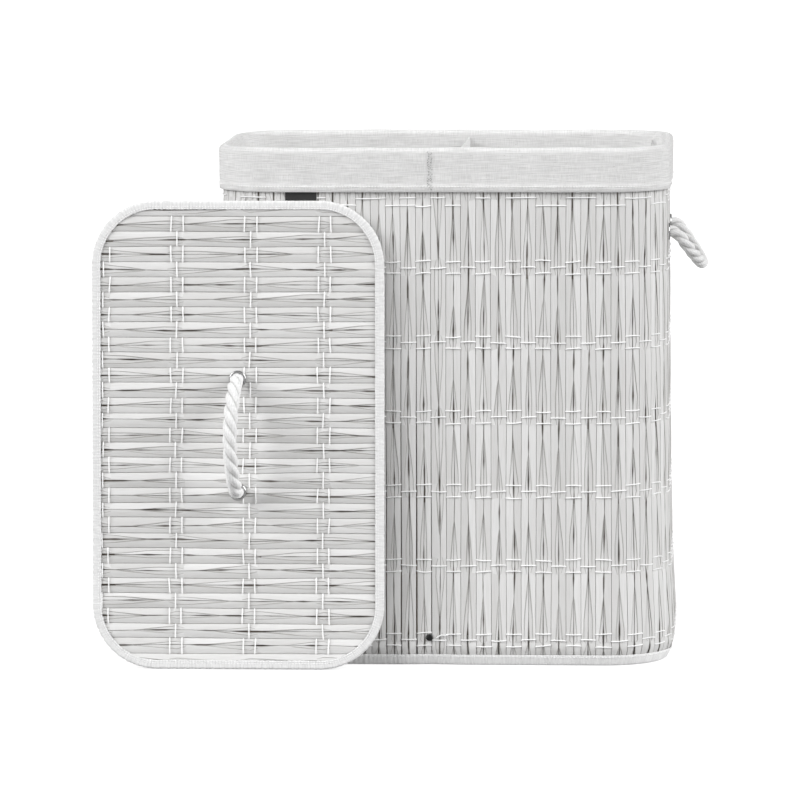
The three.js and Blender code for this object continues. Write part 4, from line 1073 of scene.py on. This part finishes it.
def cuff_place(distance, height, out):
    """A place on the cuff: on the wall's line, with soft waves, puckers towards the hem, a small ridge at
    each seam and a slanting tuck inside the right rear corner; the rim itself rises and falls a little."""
    distance, height, out = np.broadcast_arrays(distance, height, out)
    outside = np.clip((out - rim_middle) / cuff_turn_reach, inside_calm_share, 1)
    lower = np.clip((hamper_height - height) / pucker_reach, pucker_least_share, 1)
    moved = (cuff_waves(distance, height) + cuff_puckers(distance, height) * lower) * outside
    ridge = np.exp(-((from_fold(distance) / seam_ridge_reach) ** 2))
    moved = moved + seam_ridge * ridge * np.sign(out - rim_middle)
    past_tuck = distance - tuck_place - tuck_slant * (hamper_height - height)
    inside = (out < rim_middle) * np.clip((tuck_top - height) / tuck_fade, 0, 1)
    moved = moved - tuck_depth * np.exp(-((past_tuck / tuck_reach) ** 2)) * inside
    moved = moved + np.interp(height, cuff_lean_heights, cuff_leans) * outside
    lift = rim_waves(distance, 0 * height) * np.clip((height - rim_wave_from) / rim_wave_reach, 0, 1)
    return wall_place(distance, height + lift, out + moved)


cuff_profile = divided(
    [(hem_face, cuff_bottom + hem_round), (hem_face, hem_top - hem_round), (cuff_face, hem_top + hem_round)]
    + arc((rim_middle, rim_height), cuff_radius, 0, 180, 12)
    + [(rim_middle - cuff_radius, cuff_inside_low), (rim_middle - cuff_radius + cuff_cloth, cuff_inside_low)]
    + arc((rim_middle, rim_height), cuff_radius - cuff_cloth, 180, 0, 10)
    + [(rim_middle + cuff_radius - cuff_cloth, cuff_bottom), (hem_face - hem_round, cuff_bottom)], cuff_step)
cuff = band_round("cuff", cuff_place, perimeter, cuff_profile, linen_finish, step=cuff_ring_step)
fasten(cuff, "liner", "linen", "liner_cuff")
piece = stitch_row("hem_stitches", cuff_place, perimeter, **hem_stitch)
fasten(piece, "liner", "linen")
seam_steps = np.linspace(0, 1, 121)[None, :]
zig = 2 / np.pi * np.arcsin(np.sin(2 * np.pi * seam_zigs * seam_steps))
seam_starts = np.array(seam_sides)[:, None]
seam_run = np.concatenate([seam_starts, seam_starts + perimeter / 2]) + seam_zig * zig
seam_rise = cuff_bottom + seam_above_hem + (rim_height - cuff_bottom) * seam_steps + 0 * seam_run
seam_out = np.where(seam_rise < hem_top, hem_seam_out, cuff_seam_out)
# The seam thread carries painted glints and shade: its tone jumps between dark and light grey in small
# patches, for stitches that catch the light or lie in shade.
grey_thread, tree, surface = new_material("grey_thread", {"Roughness": 0.8})
painted_glint_and_shade = noise(tree, add_node(tree, "TexCoord").outputs["Object"], 480.0)
tone = between(tree, contrast(tree, painted_glint_and_shade, 0.42, 0.58), grey(0.26), grey(0.84))
tree.links.new(tone, surface.inputs["Base Color"])
piece = threads("cuff_seams", cuff_place, seam_run, seam_rise, seam_out, grey_thread,
                seam_radius, stitch_corners)
fasten(piece, "liner", "linen")


def bag_place(distance, height, out):
    """A place on the bag: the wall's outline drawn in, more at the ends, where the handles' knots are, and
    widening to the cuff above the shoulder."""
    distance, height, out = np.broadcast_arrays(distance, height, out)
    x, y, facing = wall_walk(distance)
    open_share = np.clip((height - bag_shoulder) / (bag_top - bag_shoulder), 0, 1)
    open_share = open_share * open_share * (3 - 2 * open_share)
    ends = -bag_end_inset + bag_end_widening * open_share
    sides = -bag_side_inset + bag_side_widening * open_share
    radius = corner_radius + sides
    return np.stack([
        (hamper_width / 2 + ends - radius) * x + (radius + out) * np.cos(facing),
        (hamper_depth / 2 + sides - radius) * y + (radius + out) * np.sin(facing), height], -1)


bag_folds = gathers(21, bag_fold, 5, 30, 5.0)
bag_creases = gathers(22, bag_crease, 30, 80, 16.0)


def bag_relief(distance, height):
    """Loose folds, deepest half way up and held at the floor and the cuff."""
    by_floor = np.clip((height - bag_bottom) / floor_hold_reach, floor_hold_share, 1)
    by_cuff = np.clip((bag_top - height) / cuff_hold_reach, cuff_hold_share, 1)
    return (bag_folds(distance, height) + bag_creases(distance, height)) * (by_floor * by_cuff)


bag_profile = divided([
    (-bag_cloth, bag_bottom), (bag_bead / 2, bag_bottom), (bag_bead, bag_bottom + bag_bead_rise),
    (bag_bead / 2, bag_bottom + 2 * bag_bead_rise), (0, bag_bottom + bag_bead_end),
    (0, bag_top), (-bag_cloth, bag_top)], bag_step)
bag = band_round("bag_walls", bag_place, perimeter, bag_profile, linen_finish, bag_relief)
fasten(bag, "liner", "linen", "liner_walls")


def floor_wrinkles(x, y):
    """Shallow wrinkles in the bag's floor: two slanting sines multiplied, and a finer one added."""
    return floor_wrinkle * (np.sin(31 * x + 22 * y) * np.sin(17 * y - 9 * x) + 0.4 * np.sin(90 * x - 60 * y))


bag_floor = plate("bag_floor", level_place, hamper_width / 2 - bag_end_inset - bag_floor_inset,
                  hamper_depth / 2 - bag_side_inset - bag_floor_inset,
                  corner_radius - bag_side_inset - bag_floor_inset,
                  bag_bottom, bag_bottom + bag_cloth, linen_finish, floor_wrinkles)
fasten(bag_floor, "liner", "linen", "liner_floor")


def divider_edge(share):
    """The height of the divider's top edge, by a share of the way to each side: it hangs a little between,
    by a parabola."""
    return divider_low - divider_sag * (1 - share**2)


# The divider's two faces are grids of shares up it and from side to side. It billows most in the middle.
rise_share = np.linspace(0, 1, 90)[:, None]
side_share = np.linspace(-1, 1, 48)[None, :]
edge_height = divider_edge(side_share)
height = divider_bottom + (edge_height - divider_bottom) * rise_share
half = np.interp(height, divider_heights, divider_halves)
billow = np.cos(side_share * np.pi / 2) * np.sin(np.pi * rise_share) ** 0.7
ripple = np.sin(21 * side_share + 7 * rise_share) * 0.25 + np.sin(9 * side_share - 11 * rise_share + 2) * 0.4
bulge = billow * (divider_bulge + divider_ripple * ripple)
above_hem = np.clip((height - edge_height + divider_hem_height) / divider_hem_edge, 0, 1)
hemmed = divider_cloth + divider_hem * above_hem
rounded = np.sqrt(np.clip((edge_height - height) / divider_lip, 0, 1) * 0.9 + 0.1)
turned_by = divider_turn * half * side_share
skins = [level_place(divider_place + turned_by + bulge + side * hemmed * rounded, half * side_share, height)
         for side in (1, -1)]
uv = np.stack([there_and_back(0.15 * side_share + 0 * height), there_and_back(height)], -1)
divider = strips("divider", np.concatenate([skins[0], skins[1][:, ::-1]], 1)[None], linen_finish, uv[None])
fasten(divider, "liner", "linen", "liner_divider")


def divider_hem_place(along, drop, out):
    """A place by the divider's hem: along it, down from its top edge, and out from its middle."""
    share = along / divider_halves[-1]
    return level_place(divider_place + divider_turn * along + out, along, divider_edge(share) - drop)


stitch_starts = np.arange(-divider_stitch["half"], divider_stitch["half"], divider_stitch["pitch"])
run = stitch_starts[:, None] + divider_stitch["length"] / 2 * stitch_run
for face, side in (("right", 1), ("left", -1)):
    out = side * (divider_stitch["out"] - divider_stitch["dive"] * stitch_run**4)
    piece = threads(f"divider_stitches_{face}", divider_hem_place, run, divider_stitch["drop"] + 0 * run,
                    out + 0 * run, thread_finish, stitch_radius, stitch_corners)
    fasten(piece, "liner", "linen")

# A plain black tag is caught under the cuff's hem, left of the middle. It is a short strip of ribbed woven
# tape that hangs free below the hem and stands off the slats a little at its lower edge.
tag_middle, tag_half = -0.149, 0.018
tag_low, tag_high = 0.5395, 0.5510
tag_clear, tag_flare, tag_ripple, tag_cloth = 0.0005, 0.0007, 0.0002, 0.0006
black_tape, tree, surface = new_material("black_tape", {"Roughness": 0.8, "Sheen Weight": 0.1})
rib = add_node(tree, "TexWave", {"Vector": on_surface(tree, 900.0, 0.0), "Scale": 1.0}).outputs[1]
tree.links.new(between(tree, rib, grey(0.010), grey(0.022)), surface.inputs["Base Color"])
rough_up(tree, surface, rib, 0.0001)
tag_run = np.linspace(tag_middle - tag_half, tag_middle + tag_half, 28)[:, None]
tag_rise = np.linspace(tag_low, tag_high, 9)[None, :]
tag_hang = (tag_high - tag_rise) / (tag_high - tag_low)
tag_out = tag_clear + tag_flare * tag_hang**2 + tag_ripple * np.sin(140 * tag_run)
skins = [wall_place(tag_run, tag_rise, tag_out + thick) for thick in (tag_cloth, 0.0)]
uv = np.stack(np.broadcast_arrays(tag_run, there_and_back(tag_rise)), -1)
tag = strips("blank_tag", np.concatenate([skins[0], skins[1][:, ::-1]], 1)[None], black_tape, uv[None])
fasten(tag, "liner", "tag", "cuff_tag")

# The lid is a hardboard panel faced with the same slats, lying across its width and tied at four bands, and
# backed with non-woven cloth. White tape is sewn round its edge with two rows of stitches.
lid_half_width, lid_half_length, lid_corner = 0.1685, 0.270, 0.074
lid_slat_face = 0.0090
lid_rows, lid_rows_margin = 31, 0.0014
lid_pitch = (2 * lid_half_length - lid_rows_margin) / lid_rows
lid_first_band, lid_band_spacing, lid_band_lean = -0.1563, 0.0851, 0.0018
lid_bands = lid_first_band + lid_band_spacing * np.arange(4)
slat_end_inset = 0.0010
lid_crown, lid_pinch, lid_inner_depth, lid_slat_sink = 0.0016, 0.0004, 0.0024, 0.0001
lid_edge_spread_share, lid_turned_rows_share = 0.03, 0.55
lid_tie_slant_spread, lid_tie_spread = 0.0003, 0.0004
lid_tie_face, lid_tie_sag = 0.0004, 0.0003
lid_back_low, lid_back_high = 0.0010, 0.0020
lid_tape_reach, lid_tape_fold, lid_tape_top = 0.0100, 0.0024, 0.0101
lid_tape_ripple, lid_tape_step, lid_ring_step = 0.00025, 0.003, 0.0014

# The tape's free edges and its inside, as [out, rise] from the lid's edge and its back face.
lid_tape_inside = [
    (-0.0097, 0.0100), (-0.0100, 0.0096), (-0.0100, 0.0093), (-0.0012, 0.0093), (-0.0007, 0.0085),
    (-0.0007, 0.0015), (-0.0012, 0.0007), (-0.0100, 0.0007), (-0.0100, 0.0003), (-0.0097, 0.0)]

# Each row of stitches has an inset from the edge and a stitch length.
lid_stitches = {"outer": (0.0066, 0.0016), "inner": (0.0088, 0.0024)}
lid_stitch_out, lid_stitch_pitch = 0.0104, 0.0034
lid_straight_x, lid_straight_y = 2 * (lid_half_width - lid_corner), 2 * (lid_half_length - lid_corner)
lid_perimeter = 2 * (lid_straight_x + lid_straight_y + math.pi * lid_corner)


def lid_slat_place(up, right, out):
    """A place on the lid's slats: up its length, right along the slats, out from their face."""
    return lid_place(up, right, lid_slat_face + out)


def lid_edge_place(distance, rise, out):
    """A place round the lid's edge: a distance round it, out from its back face, and out from the edge."""
    distance, rise, out = np.broadcast_arrays(distance, rise, out)
    x, y, facing = walk_round(distance, lid_straight_x, lid_straight_y, lid_corner)
    return lid_place(y * lid_straight_y / 2 + (lid_corner + out) * np.sin(facing),
                     x * lid_straight_x / 2 + (lid_corner + out) * np.cos(facing), rise)


def lid_stitch_place(distance, inset, rise):
    """The same for a stitch on the lid's face, at an inset from the edge."""
    return lid_edge_place(distance, rise, -inset)


def room_across(up):
    """How far to each side the slats reach at a place up the lid, inside its rounded corners."""
    radius = lid_corner - slat_end_inset
    past = np.clip(np.abs(up) - (lid_half_length - lid_corner), 0, radius * 0.995)
    return lid_half_width - lid_corner + np.sqrt(radius**2 - past**2)


def lid_cut_place(up, right, out):
    """A place on the lid's slats, held back where their rows run out under the tape at the corners."""
    past = np.maximum(np.abs(right) - room_across(np.abs(up)), 0)
    return lid_slat_place(up, right - 0.999 * np.sign(right) * past, out)


lid_levels = np.concatenate([[-lid_half_width], lid_bands, [lid_half_width]])
lid_edges = random.normal(0, lid_edge_spread_share, (lid_rows + 1, len(lid_levels)))
lid_edges[[0, -1]] = 0
lid_own_edges = np.stack([lid_edges[:-1] - 0.5, lid_edges[1:] + 0.5], 1)
towards = np.where(random.random(lid_rows) < lid_turned_rows_share, 1, -1)
plan = weave(lid_own_edges, towards, lid_levels, random)
plan["lift"] = plan["lift"] - lid_slat_sink
centre = (plan["bundle"] - (lid_rows - 1) / 2) * lid_pitch
from_top = lid_rows - 1 - plan["bundle"]
lean = lid_band_lean * centre / lid_half_length
offsets = np.where((from_top % 2 == 1)[:, None], [-pair_offset, pair_offset], 0.0)
offsets = np.where(((from_top == 0) | (from_top == lid_rows - 1))[:, None], 1.0, offsets)
ties = (lid_bands[None, :, None] + offsets[:, None, :] + lean[:, None, None]).reshape(len(from_top), -1)
piece = lay_slats("lid_face_slats", plan, centre, lid_pitch, lid_cut_place, slat_finish,
                  lid_crown, lid_pinch, ties)
fasten(piece, "lid", "slats", "lid_slats")
# Brown slats behind the lid's rows, dark as painted shade in the slits.
plan = backs(lid_rows, np.linspace(-lid_half_width, lid_half_width, 25))
centre = (plan["bundle"] - (lid_rows - 1) / 2) * lid_pitch
piece = lay_slats("lid_inner_slats", plan, centre, lid_pitch, lid_cut_place, inner_slat_shade_finish,
                  inner_crown, depth=lid_inner_depth)
fasten(piece, "lid", "slats", "lid_slats")

rows = []
for tie, band in enumerate(lid_bands):
    for bundle in range(1, lid_rows - 1):
        offsets = (-pair_offset, pair_offset) if (lid_rows - 1 - bundle) % 2 else (0.0,)
        rows += [(tie + 1, bundle, band + offset) for offset in offsets]
tie, bundle, right = (np.array(column)[:, None] for column in zip(*rows))
start, end = bundle - 0.5 + lid_edges[bundle, tie], bundle + 0.5 + lid_edges[bundle + 1, tie]
middle = ((start + end) / 2 - (lid_rows - 1) / 2) * lid_pitch
reach = tie_reach_share * (end - start) * lid_pitch
clear = (np.abs(right) < room_across(np.abs(middle) + lid_pitch / 2) - lid_tape_reach)[:, 0]
middle, right, reach = middle[clear], right[clear], reach[clear]
slant = random.normal(0.0, lid_tie_slant_spread, middle.shape)
jitter = random.normal(0, lid_tie_spread, middle.shape)
right = right + lid_band_lean * middle / lid_half_length + slant * tie_run + jitter
sunk = lid_tie_sag * np.abs(tie_run) ** 3 + tie_dive * np.abs(tie_run) ** 24
piece = threads("lid_ties", lid_slat_place, middle + reach * tie_run, right, lid_tie_face - sunk,
                thread_finish)
fasten(piece, "lid", "slats")


def lid_back_place(right, up, out):
    """A place on the lid's backing cloth: right across it, up along it, and out from the lid's back face."""
    return lid_place(up, right, out)


backing = plate("lid_back_cloth", lid_back_place, lid_half_width - slat_end_inset,
                lid_half_length - slat_end_inset, lid_corner - slat_end_inset,
                lid_back_low, lid_back_high, cloth_finish)
fasten(backing, "lid", "lining_cloth", "lid_backing")
lid_tape_profile = divided(
    arc((-lid_tape_fold, lid_tape_fold), lid_tape_fold, -90, 0, 4)
    + arc((-lid_tape_fold, lid_tape_top - lid_tape_fold), lid_tape_fold, 0, 90, 4)
    + lid_tape_inside, lid_tape_step)
lid_tape = band_round("lid_tape", lid_edge_place, lid_perimeter, lid_tape_profile, tape_finish,
                      gathers(31, lid_tape_ripple, 120, 380, 0.0), step=lid_ring_step)
fasten(lid_tape, "lid", "binding_tape", "lid_binding")
for row, (inset, length) in lid_stitches.items():
    piece = stitch_row(f"lid_stitches_{row}", lid_stitch_place, lid_perimeter, inset, lid_stitch_out, length,
                       lid_stitch_pitch)
    fasten(piece, "lid", "binding_tape")
